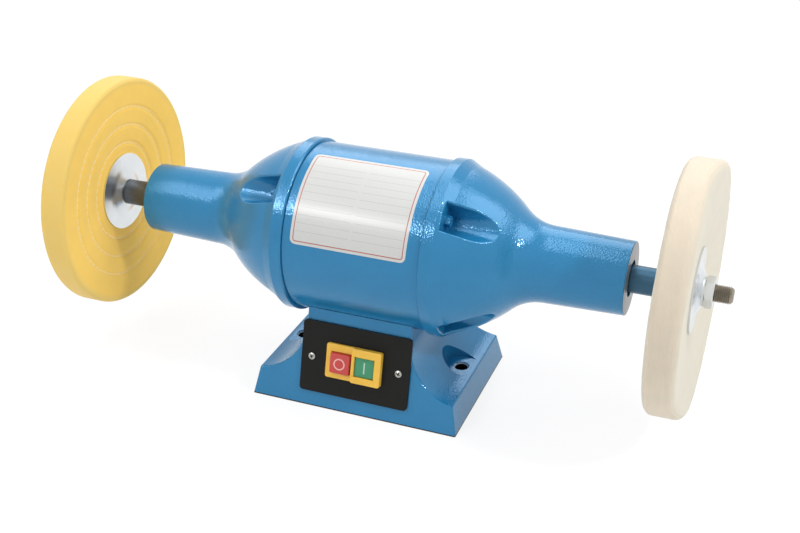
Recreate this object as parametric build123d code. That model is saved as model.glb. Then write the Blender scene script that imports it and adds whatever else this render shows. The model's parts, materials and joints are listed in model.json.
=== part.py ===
"""Bench polishing machine: a motor between two long-nosed end bells, carrying a buff at each end.

X runs along the shaft, the switch faces -Y, Z is up. The origin is on the bench, under the middle of
the base. All sizes are in millimetres.
"""
import math
import os

from build123d import *

# Main layout
axis_height = 135.0  # bench to shaft axis
barrel_length = 114.6  # between the rims of the two end bells
nose_reach = 207.5  # middle of the machine to the end of a nose
shoulder_reach = 238.9  # middle of the machine to the shoulder that seats a wheel
fit_clearance = 0.05  # radial room of a seated or pressed fit
loose_clearance = 0.25  # room round pieces that only lie in place

# Motor barrel and end bells
barrel_diameter = 140.0
barrel_wall = 6.0
rim_diameter = 145.2  # raised band where a bell meets the barrel
rim_width = 9.3
rim_chamfer = 1.0
rim_slope_width = 8.2  # from the edge of the rim down to the start of the bell's curve
bell_start_diameter = 136.0  # where the curve starts, at the foot of the rim
bell_neck_reach = 127.4  # middle of the machine to where the curve and the nose would meet sharp
nose_root_diameter = 62.7  # nose at that place
bell_bulge = 4.0  # how far the curve stands proud of a straight cone
bell_fillet = 38.0  # hollow that joins curve and nose
nose_end_diameter = 58.6
nose_edge_round = 0.8
nose_lip = 4.0  # wall at the end of a nose that stops the bearing
nose_lip_bore = 29.0
spigot_length = 6.0  # part of a bell that registers inside the barrel
spigot_wall = 6.0
bell_floor = 7.5  # wall that the tie bolts clamp
bell_cavity_diameter = 84.0
bell_cavity_reach = 100.0

# Tie bolts in their pockets
tie_bolt_angle = 43.6  # from upright, in degrees, to the two upper bolts and to the two lower ones
tie_bolt_circle = 119.0
tie_bolt_diameter = 5.0
tie_hole_diameter = 5.5
tie_head_flats = 8.0
tie_head_height = 3.5
tie_nut_height = 4.0
tie_washer_diameter = 10.0
tie_washer_thickness = 1.0
tie_end_length = 3.0  # thread that stands out of its nut
pocket_width = 23.0
pocket_start = 12.2  # from the end of the barrel to the pocket's flat wall
pocket_round = 1.4

# Bearings
bearing_bore = 22.0
bearing_diameter = 50.0
bearing_width = 14.0
ball_diameter = 7.9
ball_count = 8
race_shoulder = 2.7  # half the gap between the shoulders of the two races
ball_play = 0.15
cage_width = 9.8
cage_thickness = 2.4
shield_thickness = 0.6
wave_washer_thickness = 0.6
wave_washer_width = 3.0

# Shaft
rotor_seat_diameter = 28.0
rotor_seat_length = 150.0
shaft_middle_diameter = 26.0
shaft_end_diameter = 22.0
stud_diameter = 13.9
stud_overhang = 14.2  # thread that stands out of the spindle nut
shoulder_chamfer = 1.0
stud_chamfer = 2.2

# Rotor and stator
core_length = 56.0
air_gap = 0.5
rotor_diameter = 76.0
rotor_bar_count = 16
rotor_bar_diameter = 5.0
rotor_bar_circle = 65.0
end_ring_bore = 50.0
end_ring_thickness = 8.0
fan_blade_count = 6
fan_blade_height = 7.0
fan_blade_thickness = 2.5
slot_count = 24
slot_opening = 2.4
slot_lip = 2.4
slot_width = 5.4
slot_depth = 11.0
tie_notch_width = 8.0
end_turn_length = 16.0
end_turn_gap = 1.5
end_turn_round = 4.0

# Wheels and their clamps
wheel_diameter = 200.0
wheel_bore = 14.2
hub_thickness = 12.1  # soft wheel squeezed between its flanges
hub_squeeze_diameter = 70.0
left_wheel_thickness = 21.8
left_wheel_round = 3.2
right_wheel_thickness = 29.8
right_wheel_round = 7.0
flange_diameter = 67.4
flange_thickness = 1.6
flange_rim_width = 12.7  # flat ring that grips the wheel
flange_seat_diameter = 25.0  # flat in the middle
flange_dish = 4.2  # middle of a flange, raised away from the wheel
flange_ring_bend = 14.0  # radius of the bend at the inner edge of the ring
flange_seat_bend = 4.0  # radius of the bend round the flat in the middle
outer_boss_diameter = 23.0
outer_boss_height = 1.2
spindle_nut_flats = 22.0
spindle_nut_height = 7.0

# Base casting
base_length = 181.3
base_depth = 133.8
base_height = 96.0  # height at which the sloping faces are cut by the saddle's block
face_slope = 13.5  # front and back lean, in degrees from upright
end_slope = 11.5  # lean of the ends of the feet
base_wall = 5.0
deck_thickness = 7.0
saddle_gap = 0.25
scoop_radius = 45.0
scoop_reach = 90.7  # middle of the machine to the middle of a scoop
foot_height = 24.0  # lowest place of a scoop
base_edge_round = 1.5
bench_hole_diameter = 10.5
bench_hole_spacing = 146.0
bench_boss_diameter = 24.0
spot_face_diameter = 33.0
spot_face_height = 24.9
bench_hole_chamfer = 1.5

# Pieces that hold the barrel on the base
mount_bolt_diameter = 6.0
mount_hole_diameter = 6.6
mount_bolt_spacing_x = 70.0
mount_bolt_spacing_y = 36.0
mount_head_diameter = 10.0
mount_head_height = 6.0
mount_spot_depth = 2.0
lead_hole_diameter = 12.0
lead_hole_reach = 34.0
grommet_wall = 1.6
grommet_flange = 1.5
lead_diameter = 2.4
lead_spacing = 2.9
lead_count = 3

# Bottom cover
cover_recess = 2.6
cover_thickness = 1.5
cover_gap = 0.5
cover_post_diameter = 11.0
cover_post_spacing_x = 118.0
cover_post_spacing_y = 98.0
cover_screw_diameter = 4.0
cover_screw_length = 10.0
cover_head_diameter = 7.6
cover_head_height = 2.2

# Electrical pieces in the base
capacitor_diameter = 35.0
capacitor_length = 70.0
capacitor_offset = 30.0  # behind the middle of the base
capacitor_edge = 1.5
tab_width = 6.3
tab_height = 8.0
tab_thickness = 0.8
tab_spacing = 12.0
strap_thickness = 1.2
strap_width = 14.0
strap_ear = 9.0
strap_gap = 0.3
strap_screw_diameter = 4.0
strap_screw_length = 6.0
terminal_length = 22.0
terminal_depth = 18.0
terminal_height = 15.0
terminal_hole_diameter = 3.0
terminal_hole_depth = 9.0

# Cable gland in the back wall, with no cord in it
gland_height = 52.0
gland_thread_diameter = 15.8
gland_hole_diameter = 16.2
gland_flats = 20.0
gland_flange = 5.0
gland_thread_inside = 7.0
gland_bore = 9.0
gland_cap_diameter = 19.0
gland_cap_length = 13.0
gland_cap_round = 4.0
gland_nut_flats = 22.0
gland_nut_height = 4.0

# Switch on the front face
plate_width = 95.5
plate_height = 61.3
plate_thickness = 2.0
plate_round = 3.0
plate_centre = 44.2  # up the sloping face, from the bench
plate_screw_spacing = 76.6
plate_screw_diameter = 3.0
plate_screw_length = 8.0
plate_head_diameter = 5.8
plate_head_height = 1.9
plate_head_round = 1.2
bezel_width = 49.0
bezel_height = 29.6
bezel_shift = -0.4  # bezel to the left of the plate's middle
bezel_thickness = 2.4
bezel_round = 1.8
bezel_edge_round = 0.6
bezel_mouth = 0.8  # bevel round a button's opening
collar_width = 25.8  # raised half round the start button
collar_rise = 2.6
switch_offset = 0.3  # switch above the middle of the plate
switch_width = 44.0
switch_height = 24.0
switch_depth = 30.0
switch_shift = -2.0  # switch case to the left of the plate's middle
window_gap = 0.3
button_width = 17.0
button_height = 16.8
button_gap = 0.2
button_round = 1.2
button_edge_round = 0.9
button_travel = 3.0
button_drop = 0.8  # buttons below the middle of the switch
stop_button_x = -11.5
start_button_x = 9.5
stop_button_rise = 3.5  # proud of the bezel's low half
start_button_sink = 1.8  # below the top of the collar
button_depth = 6.0  # part of a button inside the switch case
button_stem_diameter = 4.0
button_stem_length = 8.0
spring_diameter = 8.0
spring_wire = 0.9
spring_length = 6.0
spring_turns = 4

# Places worked out from the sizes above
barrel_half = barrel_length / 2
barrel_radius = barrel_diameter / 2
bore_radius = barrel_radius - barrel_wall
rim_radius = rim_diameter / 2
tie_radius = tie_bolt_circle / 2
tie_angles = [tie_bolt_angle, 180 - tie_bolt_angle, 180 + tie_bolt_angle, -tie_bolt_angle]
pocket_wall = barrel_half + pocket_start
bearing_outer_end = nose_reach - nose_lip
bearing_middle = bearing_outer_end - bearing_width / 2
bearing_inner_end = bearing_outer_end - bearing_width
ball_circle_radius = (bearing_bore + bearing_diameter) / 4
rotor_radius = rotor_diameter / 2
stator_bore_radius = rotor_radius + air_gap
slot_end_radius = stator_bore_radius + slot_lip + slot_depth
hub_start = shoulder_reach + flange_dish + flange_thickness
hub_end = hub_start + hub_thickness
wheel_middle = (hub_start + hub_end) / 2
outer_flange_top = hub_end + flange_dish + flange_thickness + outer_boss_height
nut_end = outer_flange_top + spindle_nut_height
stud_reach = nut_end + stud_overhang
scoop_height = foot_height + scoop_radius
column_half = scoop_reach - scoop_radius
slope_tangent = math.tan(math.radians(face_slope))
end_tangent = math.tan(math.radians(end_slope))
cover_top = cover_recess + cover_thickness
button_line = switch_offset - button_drop
sides = {"left": -1, "right": 1}


def turned(*outline):
    """Solid of revolution about the X axis from an outline of (x, radius) points."""
    return revolve(Plane.XZ * make_face(Polyline(*outline, close=True)), Axis.X)


def rod(radius, start, end, y=0.0, z=0.0):
    """Round bar along X."""
    return Pos((start + end) / 2, y, z) * Rot(0, 90, 0) * Cylinder(radius, abs(end - start))


def hexagon_rod(flats, start, end, y=0.0, z=0.0):
    """Hexagon bar along X, a given distance across its flats."""
    hexagon = RegularPolygon(flats / 2, 6, major_radius=False)
    return Pos(min(start, end), y, z) * extrude(Plane.YZ * hexagon, abs(end - start))


def post(radius, bottom, top, x=0.0, y=0.0):
    """Upright round bar."""
    return Pos(x, y, (bottom + top) / 2) * Cylinder(radius, top - bottom)


def block(low, high):
    """Box between two corners."""
    size = [b - a for a, b in zip(low, high)]
    middle = [(a + b) / 2 for a, b in zip(low, high)]
    return Pos(*middle) * Box(*size)


def on_axis(piece):
    """Lift a piece made about the X axis to the height of the shaft."""
    return Pos(0, 0, axis_height) * piece


def on_side(piece, side):
    """A piece made for the right end, or its mirror image for the left end."""
    return piece if side > 0 else mirror(piece, about=Plane.YZ)


def around(radius, angles):
    """Places (y, z) on a circle about the X axis."""
    turns = [math.radians(angle) for angle in angles]
    return [(radius * math.sin(turn), radius * math.cos(turn)) for turn in turns]


def even_angles(count):
    """Evenly spread angles of a full circle."""
    return [360 / count * i for i in range(count)]


def group(pieces):
    """Several separate solids that share one node."""
    return Compound(children=list(pieces))


def face_plane(height, turn=1):
    """Plane on the sloping front (turn 1) or back (turn -1) face, its Z pointing out of the casting.

    height is measured up the face from the bench.
    """
    lean = math.radians(face_slope)
    along = Vector(0, turn * math.sin(lean), math.cos(lean))
    outward = Vector(0, -turn * math.cos(lean), math.sin(lean))
    foot = Vector(0, -turn * base_depth / 2, 0)
    return Plane(origin=foot + along * height, x_dir=(turn, 0, 0), z_dir=outward)


def rounded_plate(width, height, thickness, corner):
    """Flat plate with round corners, standing on the XY plane."""
    return extrude(RectangleRounded(width, height, corner), thickness)


# Motor barrel and end bells

def make_motor_barrel():
    """Plain tube with tapped holes for the base and a hole for the leads underneath."""
    tube = rod(barrel_radius, -barrel_half, barrel_half) - rod(bore_radius, -barrel_half, barrel_half)
    for x, y in mount_bolt_places():
        tube -= post(mount_bolt_diameter / 2 + fit_clearance, -barrel_radius - 1, 0, x, y)
    tube -= post(lead_hole_diameter / 2, -barrel_radius - 1, 0, lead_hole_reach, 0)
    return on_axis(tube)


def bell_outline():
    """Half section of the right end bell, as a face on the XZ plane."""
    rim_end = barrel_half + rim_width
    curve_start = rim_end + rim_slope_width
    spigot_radius = bore_radius - fit_clearance
    start_radius = bell_start_diameter / 2
    neck_radius = nose_root_diameter / 2
    seat_radius = bearing_diameter / 2 + fit_clearance / 2
    seat_start = bearing_inner_end - bearing_width / 2
    relief_radius = seat_radius + loose_clearance
    bulge_middle = ((curve_start + bell_neck_reach) / 2, (start_radius + neck_radius) / 2)
    run = (bell_neck_reach - curve_start, neck_radius - start_radius)
    length = math.hypot(*run)
    bulge_point = (bulge_middle[0] - run[1] / length * bell_bulge, bulge_middle[1] + run[0] / length * bell_bulge)
    floor_inside = pocket_wall - bell_floor
    cavity_radius = bell_cavity_diameter / 2
    curve = ThreePointArc((curve_start, start_radius), bulge_point, (bell_neck_reach, neck_radius))
    before = Polyline(
        (barrel_half - spigot_length, spigot_radius),
        (barrel_half, spigot_radius),
        (barrel_half, rim_radius - rim_chamfer),
        (barrel_half + rim_chamfer, rim_radius),
        (rim_end, rim_radius),
        (curve_start, start_radius),
    )
    after = Polyline(
        (bell_neck_reach, neck_radius),
        (nose_reach, nose_end_diameter / 2),
        (nose_reach, nose_lip_bore / 2),
        (bearing_outer_end, nose_lip_bore / 2),
        (bearing_outer_end, seat_radius),
        (seat_start, seat_radius),
        (seat_start, relief_radius),
        (bell_neck_reach, relief_radius),
        (bell_cavity_reach, cavity_radius),
        (floor_inside, cavity_radius),
        (floor_inside, spigot_radius - spigot_wall),
        (barrel_half - spigot_length, spigot_radius - spigot_wall),
        (barrel_half - spigot_length, spigot_radius),
    )
    outline = make_face([before, curve, after])
    neck_corner = outline.vertices().sort_by_distance((bell_neck_reach, neck_radius, 0))[0]
    outline = fillet(neck_corner, bell_fillet)
    nose_corner = outline.vertices().sort_by_distance((nose_reach, nose_end_diameter / 2, 0))[0]
    return fillet(nose_corner, nose_edge_round)


def make_end_bell(side):
    """Bottle-shaped casting: rim, bulging shoulder, hollow neck and long nose, with four bolt pockets."""
    outline = bell_outline()
    bell = revolve(Plane.XZ * outline, Axis.X)
    slot = Rectangle(pocket_width, pocket_width * 2, align=(Align.CENTER, Align.MIN)) + Circle(pocket_width / 2)
    cutter = extrude(Plane.YZ * slot, nose_reach - pocket_wall)
    for angle in tie_angles:
        pocket = Rot(-angle, 0, 0) * Pos(pocket_wall, 0, tie_radius) * cutter
        hollowed = bell - pocket
        bell = fillet(new_edges(bell, pocket, combined=hollowed), pocket_round)
    for y, z in around(tie_radius, tie_angles):
        bell -= rod(tie_hole_diameter / 2, 0, pocket_wall + 1, y, z)
    return on_axis(on_side(bell, side))


def make_tie_bolts():
    """Long bolts from the right bell to the left one, heads in the right-hand pockets."""
    seat = pocket_wall + tie_washer_thickness
    tail = -(seat + tie_nut_height + tie_end_length)
    bolts = []
    for y, z in around(tie_radius, tie_angles):
        head = hexagon_rod(tie_head_flats, seat, seat + tie_head_height, y, z)
        bolts.append(on_axis(rod(tie_bolt_diameter / 2, tail, seat, y, z) + head))
    return group(bolts)


def make_tie_bolt_nuts():
    """Nuts in the left-hand pockets."""
    seat = -(pocket_wall + tie_washer_thickness)
    bore = tie_bolt_diameter / 2 + fit_clearance
    nuts = []
    for y, z in around(tie_radius, tie_angles):
        nut = hexagon_rod(tie_head_flats, seat - tie_nut_height, seat, y, z)
        nuts.append(on_axis(nut - rod(bore, seat - tie_nut_height, seat, y, z)))
    return group(nuts)


def make_tie_bolt_washers():
    """One washer under each head and each nut."""
    bore = tie_bolt_diameter / 2 + fit_clearance
    washers = []
    for side in sides.values():
        near = side * pocket_wall
        far = side * (pocket_wall + tie_washer_thickness)
        for y, z in around(tie_radius, tie_angles):
            washer = rod(tie_washer_diameter / 2, near, far, y, z) - rod(bore, near, far, y, z)
            washers.append(on_axis(washer))
    return group(washers)


# Bearings in the noses

def ball_track():
    """Ring that both races are hollowed by, so that the balls run with a little play."""
    groove = Circle(ball_diameter / 2 + ball_play)
    return revolve(Plane.XZ * Pos(bearing_middle, ball_circle_radius) * groove, Axis.X)


def make_outer_race(side):
    """Outer ring, seated in the nose."""
    inside = ball_circle_radius + race_shoulder
    ring = rod(bearing_diameter / 2, bearing_inner_end, bearing_outer_end - wave_washer_room(side))
    ring -= rod(inside, bearing_inner_end - 1, bearing_outer_end + 1)
    return on_axis(on_side(ring - ball_track(), side))


def make_inner_race(side):
    """Inner ring, pressed on the shaft."""
    outside = ball_circle_radius - race_shoulder
    ring = rod(outside, bearing_inner_end, bearing_outer_end)
    ring -= rod(bearing_bore / 2 + fit_clearance, bearing_inner_end - 1, bearing_outer_end + 1)
    return on_axis(on_side(ring - ball_track(), side))


def ball_places():
    return around(ball_circle_radius, even_angles(ball_count))


def make_balls(side):
    """Balls between the races."""
    balls = [Pos(bearing_middle, y, z) * Sphere(ball_diameter / 2) for y, z in ball_places()]
    return group(on_axis(on_side(ball, side)) for ball in balls)


def make_cage(side):
    """Ring with a round pocket for each ball."""
    start = bearing_middle - cage_width / 2
    end = bearing_middle + cage_width / 2
    ring = rod(ball_circle_radius + cage_thickness / 2, start, end)
    ring -= rod(ball_circle_radius - cage_thickness / 2, start - 1, end + 1)
    for y, z in ball_places():
        ring -= Pos(bearing_middle, y, z) * Sphere(ball_diameter / 2 + ball_play)
    return on_axis(on_side(ring, side))


def make_shields(side):
    """Thin rings that close the bearing, held in the outer race."""
    outside = ball_circle_radius + race_shoulder - fit_clearance
    inside = ball_circle_radius - race_shoulder + loose_clearance
    shields = []
    for end in (bearing_inner_end, bearing_outer_end - wave_washer_room(side) - shield_thickness):
        ring = rod(outside, end, end + shield_thickness) - rod(inside, end - 1, end + 2)
        shields.append(on_axis(on_side(ring, side)))
    return group(shields)


def wave_washer_room(side):
    """The left outer race leaves room for the spring washer that loads both bearings."""
    return wave_washer_thickness if side < 0 else 0.0


def make_wave_washer():
    """Spring washer between the left bearing and the lip of its nose."""
    start = -bearing_outer_end
    end = start + wave_washer_thickness
    outside = bearing_diameter / 2 - fit_clearance
    ring = rod(outside, start, end) - rod(outside - wave_washer_width, start - 1, end + 1)
    return on_axis(ring)


# Shaft, rotor and stator

def make_arbor_shaft():
    """Stepped shaft: rotor seat, bearing seats, shoulders for the wheels and a stud at each end."""
    half = [
        (0, rotor_seat_diameter / 2),
        (rotor_seat_length / 2, rotor_seat_diameter / 2),
        (rotor_seat_length / 2, shaft_middle_diameter / 2),
        (bearing_inner_end, shaft_middle_diameter / 2),
        (bearing_inner_end, shaft_end_diameter / 2),
        (shoulder_reach - shoulder_chamfer, shaft_end_diameter / 2),
        (shoulder_reach, shaft_end_diameter / 2 - shoulder_chamfer),
        (shoulder_reach, stud_diameter / 2),
        (stud_reach - stud_chamfer, stud_diameter / 2),
        (stud_reach, stud_diameter / 2 - stud_chamfer),
        (stud_reach, 0),
    ]
    other = [(-x, radius) for x, radius in reversed(half[1:])]
    return on_axis(turned(*half, *other))


def rotor_bar_places():
    return around(rotor_bar_circle / 2, even_angles(rotor_bar_count))


def make_rotor_core():
    """Stack of steel sheets on the shaft, pierced for the bars of the cage."""
    core = rod(rotor_radius, -core_length / 2, core_length / 2)
    core -= rod(rotor_seat_diameter / 2 + fit_clearance, -core_length, core_length)
    for y, z in rotor_bar_places():
        core -= rod(rotor_bar_diameter / 2 + fit_clearance, -core_length, core_length, y, z)
    return on_axis(core)


def make_rotor_cage():
    """Cast aluminium cage: bars, an end ring on each side and small fan blades on the rings."""
    half = core_length / 2
    ring_end = half + end_ring_thickness
    bar_radius = rotor_bar_diameter / 2
    cage = None
    for side in sides.values():
        ring = rod(rotor_radius, side * half, side * ring_end)
        ring -= rod(end_ring_bore / 2, side * (half - 1), side * (ring_end + 1))
        blade_middle = (end_ring_bore / 2 + rotor_radius) / 2
        blade_length = rotor_radius - end_ring_bore / 2 - fan_blade_thickness
        for angle in even_angles(fan_blade_count):
            blade = Box(fan_blade_height, fan_blade_thickness, blade_length)
            ring += Rot(-angle, 0, 0) * Pos(side * (ring_end + fan_blade_height / 2), 0, blade_middle) * blade
        cage = ring if cage is None else cage + ring
    for y, z in rotor_bar_places():
        cage += rod(bar_radius, -half - 1, half + 1, y, z)
    return on_axis(cage)


def slot_face(clear):
    """Section of one winding slot above the shaft; clear leaves room for the copper."""
    bottom = stator_bore_radius + slot_lip
    body = Pos(0, (bottom + slot_end_radius) / 2) * Rectangle(slot_width - 2 * clear, slot_depth - 2 * clear)
    return Plane.YZ * body


def make_stator_core():
    """Stack of steel sheets in the barrel, with winding slots and notches that the tie bolts pass."""
    half = core_length / 2
    core = rod(bore_radius - fit_clearance, -half, half) - rod(stator_bore_radius, -half - 1, half + 1)
    mouth_height = slot_lip + 1
    mouth = Pos(0, stator_bore_radius + slot_lip - mouth_height / 2 + 0.5) * Rectangle(slot_opening, mouth_height)
    slot = extrude(slot_face(0), core_length) + extrude(Plane.YZ * mouth, core_length)
    for angle in even_angles(slot_count):
        core -= Rot(-angle, 0, 0) * Pos(-half, 0, 0) * slot
    notch = Pos(0, 0, tie_radius) * (rod(tie_notch_width / 2, -half - 1, half + 1))
    notch += block((-half - 1, -tie_notch_width / 2, tie_radius), (half + 1, tie_notch_width / 2, barrel_radius))
    for angle in tie_angles:
        core -= Rot(-angle, 0, 0) * notch
    return on_axis(core)


def make_stator_winding():
    """Copper in the slots, joined by a bundle of end turns on each side of the core."""
    half = core_length / 2
    start = half + end_turn_gap
    end = start + end_turn_length
    inside = stator_bore_radius + slot_lip
    bundle = Pos((start + end) / 2, (inside + slot_end_radius) / 2)
    bundle *= RectangleRounded(end_turn_length, slot_end_radius - inside, end_turn_round)
    right = revolve(Plane.XZ * bundle, Axis.X)
    winding = right + mirror(right, about=Plane.YZ)
    reach = start + end_turn_length / 2
    bar = extrude(slot_face(loose_clearance), 2 * reach)
    for angle in even_angles(slot_count):
        winding += Rot(-angle, 0, 0) * Pos(-reach, 0, 0) * bar
    return on_axis(winding)


# Wheels and their clamps

def wheel_outline(thickness, corner):
    """Half section of a soft wheel: thin where the flanges squeeze it, full at the rim."""
    half = thickness / 2
    hub = hub_thickness / 2
    radius = wheel_diameter / 2
    bore = wheel_bore / 2
    squeeze = hub_squeeze_diameter / 2
    right = Polyline((hub, bore), (hub, squeeze), (half, radius - corner))
    round_right = ThreePointArc(
        (half, radius - corner),
        (half - corner * (1 - math.sqrt(0.5)), radius - corner * (1 - math.sqrt(0.5))),
        (half - corner, radius),
    )
    rim = Line((half - corner, radius), (corner - half, radius))
    round_left = mirror(round_right, about=Plane.YZ)
    left = mirror(right, about=Plane.YZ)
    bottom = Line((-hub, bore), (hub, bore))
    return make_face([right, round_right, rim, round_left, left, bottom])


def make_left_buff():
    """Stitched cotton wheel, firm, with nearly square edges."""
    face = wheel_outline(left_wheel_thickness, left_wheel_round)
    return on_axis(Pos(-wheel_middle, 0, 0) * revolve(Plane.XZ * face, Axis.X))


def make_right_buff():
    """Soft cotton wheel, thicker, with round edges."""
    face = wheel_outline(right_wheel_thickness, right_wheel_round)
    return on_axis(Pos(wheel_middle, 0, 0) * revolve(Plane.XZ * face, Axis.X))


def flange_radii():
    """Radii at the rim, at the inner edge of its flat ring and at the flat in the middle."""
    rim = flange_diameter / 2
    return rim, rim - flange_rim_width, flange_seat_diameter / 2


def bent_disc(*outline):
    """Turned disc, with its bends at the ring and round the seat rounded."""
    face = make_face(Polyline(*outline, close=True))
    rim, ring, seat = flange_radii()
    for radius, bend in ((ring, flange_ring_bend), (seat, flange_seat_bend)):
        corners = face.vertices().filter_by_position(Axis.Y, radius - fit_clearance, radius + fit_clearance)
        face = fillet(corners, bend)
    return revolve(Plane.XZ * face, Axis.X)


def make_inner_flange(side):
    """Pressed steel disc between the shaft's shoulder and the wheel, dished round its bore."""
    rim, ring, seat = flange_radii()
    bore = stud_diameter / 2 + fit_clearance
    near = shoulder_reach
    dish = bent_disc(
        (near, bore),
        (near, seat),
        (near + flange_dish, ring),
        (near + flange_dish, rim),
        (hub_start, rim),
        (hub_start, ring),
        (hub_start - flange_dish, seat),
        (hub_start - flange_dish, bore),
    )
    return on_axis(on_side(dish, side))


def make_outer_flange(side):
    """The same disc facing the other way, with a boss that the nut presses on."""
    rim, ring, seat = flange_radii()
    bore = stud_diameter / 2 + fit_clearance
    boss = outer_boss_diameter / 2
    face = hub_end + flange_thickness
    dish = bent_disc(
        (hub_end + flange_dish, bore),
        (hub_end + flange_dish, seat),
        (hub_end, ring),
        (hub_end, rim),
        (face, rim),
        (face, ring),
        (face + flange_dish, seat),
        (face + flange_dish, boss),
        (outer_flange_top, boss),
        (outer_flange_top, bore),
    )
    return on_axis(on_side(dish, side))


def make_spindle_nut(side):
    """Thin hexagon nut with both ends bevelled round."""
    bore = stud_diameter / 2 + fit_clearance
    corner = spindle_nut_flats / math.sqrt(3)
    bevel = (corner - spindle_nut_flats / 2) * math.tan(math.radians(30))
    nut = hexagon_rod(spindle_nut_flats, outer_flange_top, nut_end)
    nut &= turned(
        (outer_flange_top, 0),
        (outer_flange_top, spindle_nut_flats / 2),
        (outer_flange_top + bevel, corner),
        (nut_end - bevel, corner),
        (nut_end, spindle_nut_flats / 2),
        (nut_end, 0),
    )
    return on_axis(on_side(nut - rod(bore, outer_flange_top, nut_end), side))


# Base casting and what closes it

def frustum(length, depth, height):
    """Block with leaning sides, standing on the bench."""
    top_length = length - 2 * end_tangent * height
    top_depth = depth - 2 * slope_tangent * height
    return loft([Rectangle(length, depth), Pos(0, 0, height) * Rectangle(top_length, top_depth)], ruled=True)


def side_scoop(grow):
    """Everything beside the column on the right: upright above, a quarter round below."""
    radius = scoop_radius + grow
    far = base_length
    above = block((scoop_reach - radius, -base_depth, scoop_height), (far, base_depth, base_height + grow + 1))
    hollow = Pos(scoop_reach, 0, scoop_height) * Rot(90, 0, 0) * Cylinder(radius, 2 * base_depth)
    outside = block((scoop_reach, -base_depth, scoop_height - radius), (far, base_depth, scoop_height + radius))
    return above + hollow + outside


def cover_post_places():
    x = cover_post_spacing_x / 2
    y = cover_post_spacing_y / 2
    return [(-x, -y), (x, -y), (-x, y), (x, y)]


def mount_bolt_places():
    x = mount_bolt_spacing_x / 2
    y = mount_bolt_spacing_y / 2
    return [(-x, -y), (x, -y), (-x, y), (x, y)]


def make_pedestal_base():
    """Hollow casting with scooped sides, a saddle for the barrel and a bolt hole in each foot."""
    saddle = on_axis(rod(barrel_radius + saddle_gap, -base_length, base_length))
    right_scoop = side_scoop(0)
    outside = frustum(base_length, base_depth, base_height) - right_scoop
    outside -= mirror(right_scoop, about=Plane.YZ)
    outside -= saddle
    outside = fillet(outside.edges().filter_by(lambda edge: is_outer_edge(edge)), base_edge_round)
    deck = on_axis(rod(barrel_radius + saddle_gap + deck_thickness, -base_length, base_length))
    wall_scoop = side_scoop(base_wall)
    cavity = frustum(base_length - 2 * base_wall, base_depth - 2 * base_wall, base_height) - deck
    cavity -= wall_scoop
    cavity -= mirror(wall_scoop, about=Plane.YZ)
    pad_bottom = spot_face_height - base_wall
    for side in sides.values():
        x = side * bench_hole_spacing / 2
        cavity -= post(bench_boss_diameter / 2, 0, spot_face_height, x)
        cavity -= post(spot_face_diameter / 2 + base_wall, pad_bottom, axis_height, x)
    for x, y in cover_post_places():
        cavity -= post(cover_post_diameter / 2, cover_top, axis_height, x, y)
    casting = outside - cavity
    for side in sides.values():
        x = side * bench_hole_spacing / 2
        hole = bench_hole_diameter / 2
        casting -= post(spot_face_diameter / 2, spot_face_height, axis_height, x)
        casting -= post(hole, -1, spot_face_height + 1, x)
        mouth = Cone(hole, hole + bench_hole_chamfer, bench_hole_chamfer)
        casting -= Pos(x, 0, spot_face_height - bench_hole_chamfer / 2) * mouth
    for x, y in cover_post_places():
        casting -= post(cover_screw_diameter / 2 + fit_clearance, 0, cover_top + cover_screw_length, x, y)
    for x, y in mount_bolt_places():
        casting -= post(mount_hole_diameter / 2, cover_top, axis_height, x, y)
        casting -= post(mount_head_diameter / 2 + loose_clearance, cover_top, mount_seat_height(), x, y)
    casting -= post(lead_hole_diameter / 2, cover_top, axis_height, lead_hole_reach)
    return casting - switch_opening() - gland_opening()


def is_outer_edge(edge):
    """Edges of the casting's outside that the mould rounds: not those on the bench or the saddle."""
    middle = edge.center()
    from_axis = math.hypot(middle.Y, middle.Z - axis_height)
    return middle.Z > 1 and from_axis > barrel_radius + 4


def switch_opening():
    """Window in the front wall for the switch case, with a tapped hole on each side."""
    face = face_plane(plate_centre)
    window = Pos(switch_shift, switch_offset, -base_wall) * Box(
        switch_width + base_wall, switch_height + base_wall, 4 * base_wall
    )
    for x in (-plate_screw_spacing / 2, plate_screw_spacing / 2):
        window += Pos(x, 0, 0) * Cylinder(plate_screw_diameter / 2 + fit_clearance, 2 * plate_screw_length)
    return face.location * window


def gland_opening():
    """Round hole in the back wall."""
    return face_plane(gland_height, turn=-1).location * Cylinder(gland_hole_diameter / 2, 4 * base_wall)


def mount_seat_height():
    """Flat under the deck where the heads of the mounting bolts press."""
    y = mount_bolt_spacing_y / 2 + mount_head_diameter / 2
    deck_radius = barrel_radius + saddle_gap + deck_thickness
    return axis_height - math.sqrt(deck_radius**2 - y**2) + mount_spot_depth - deck_thickness / 2


def make_barrel_mount_bolts():
    """Socket head bolts from inside the base up into the barrel."""
    seat = mount_seat_height()
    y = mount_bolt_spacing_y / 2 - mount_bolt_diameter / 2
    top = axis_height - math.sqrt(bore_radius**2 - y**2) - loose_clearance
    bolts = []
    for x, y in mount_bolt_places():
        bolt = post(mount_bolt_diameter / 2, seat, top, x, y)
        bolts.append(bolt + post(mount_head_diameter / 2, seat - mount_head_height, seat, x, y))
    return group(bolts)


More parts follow.
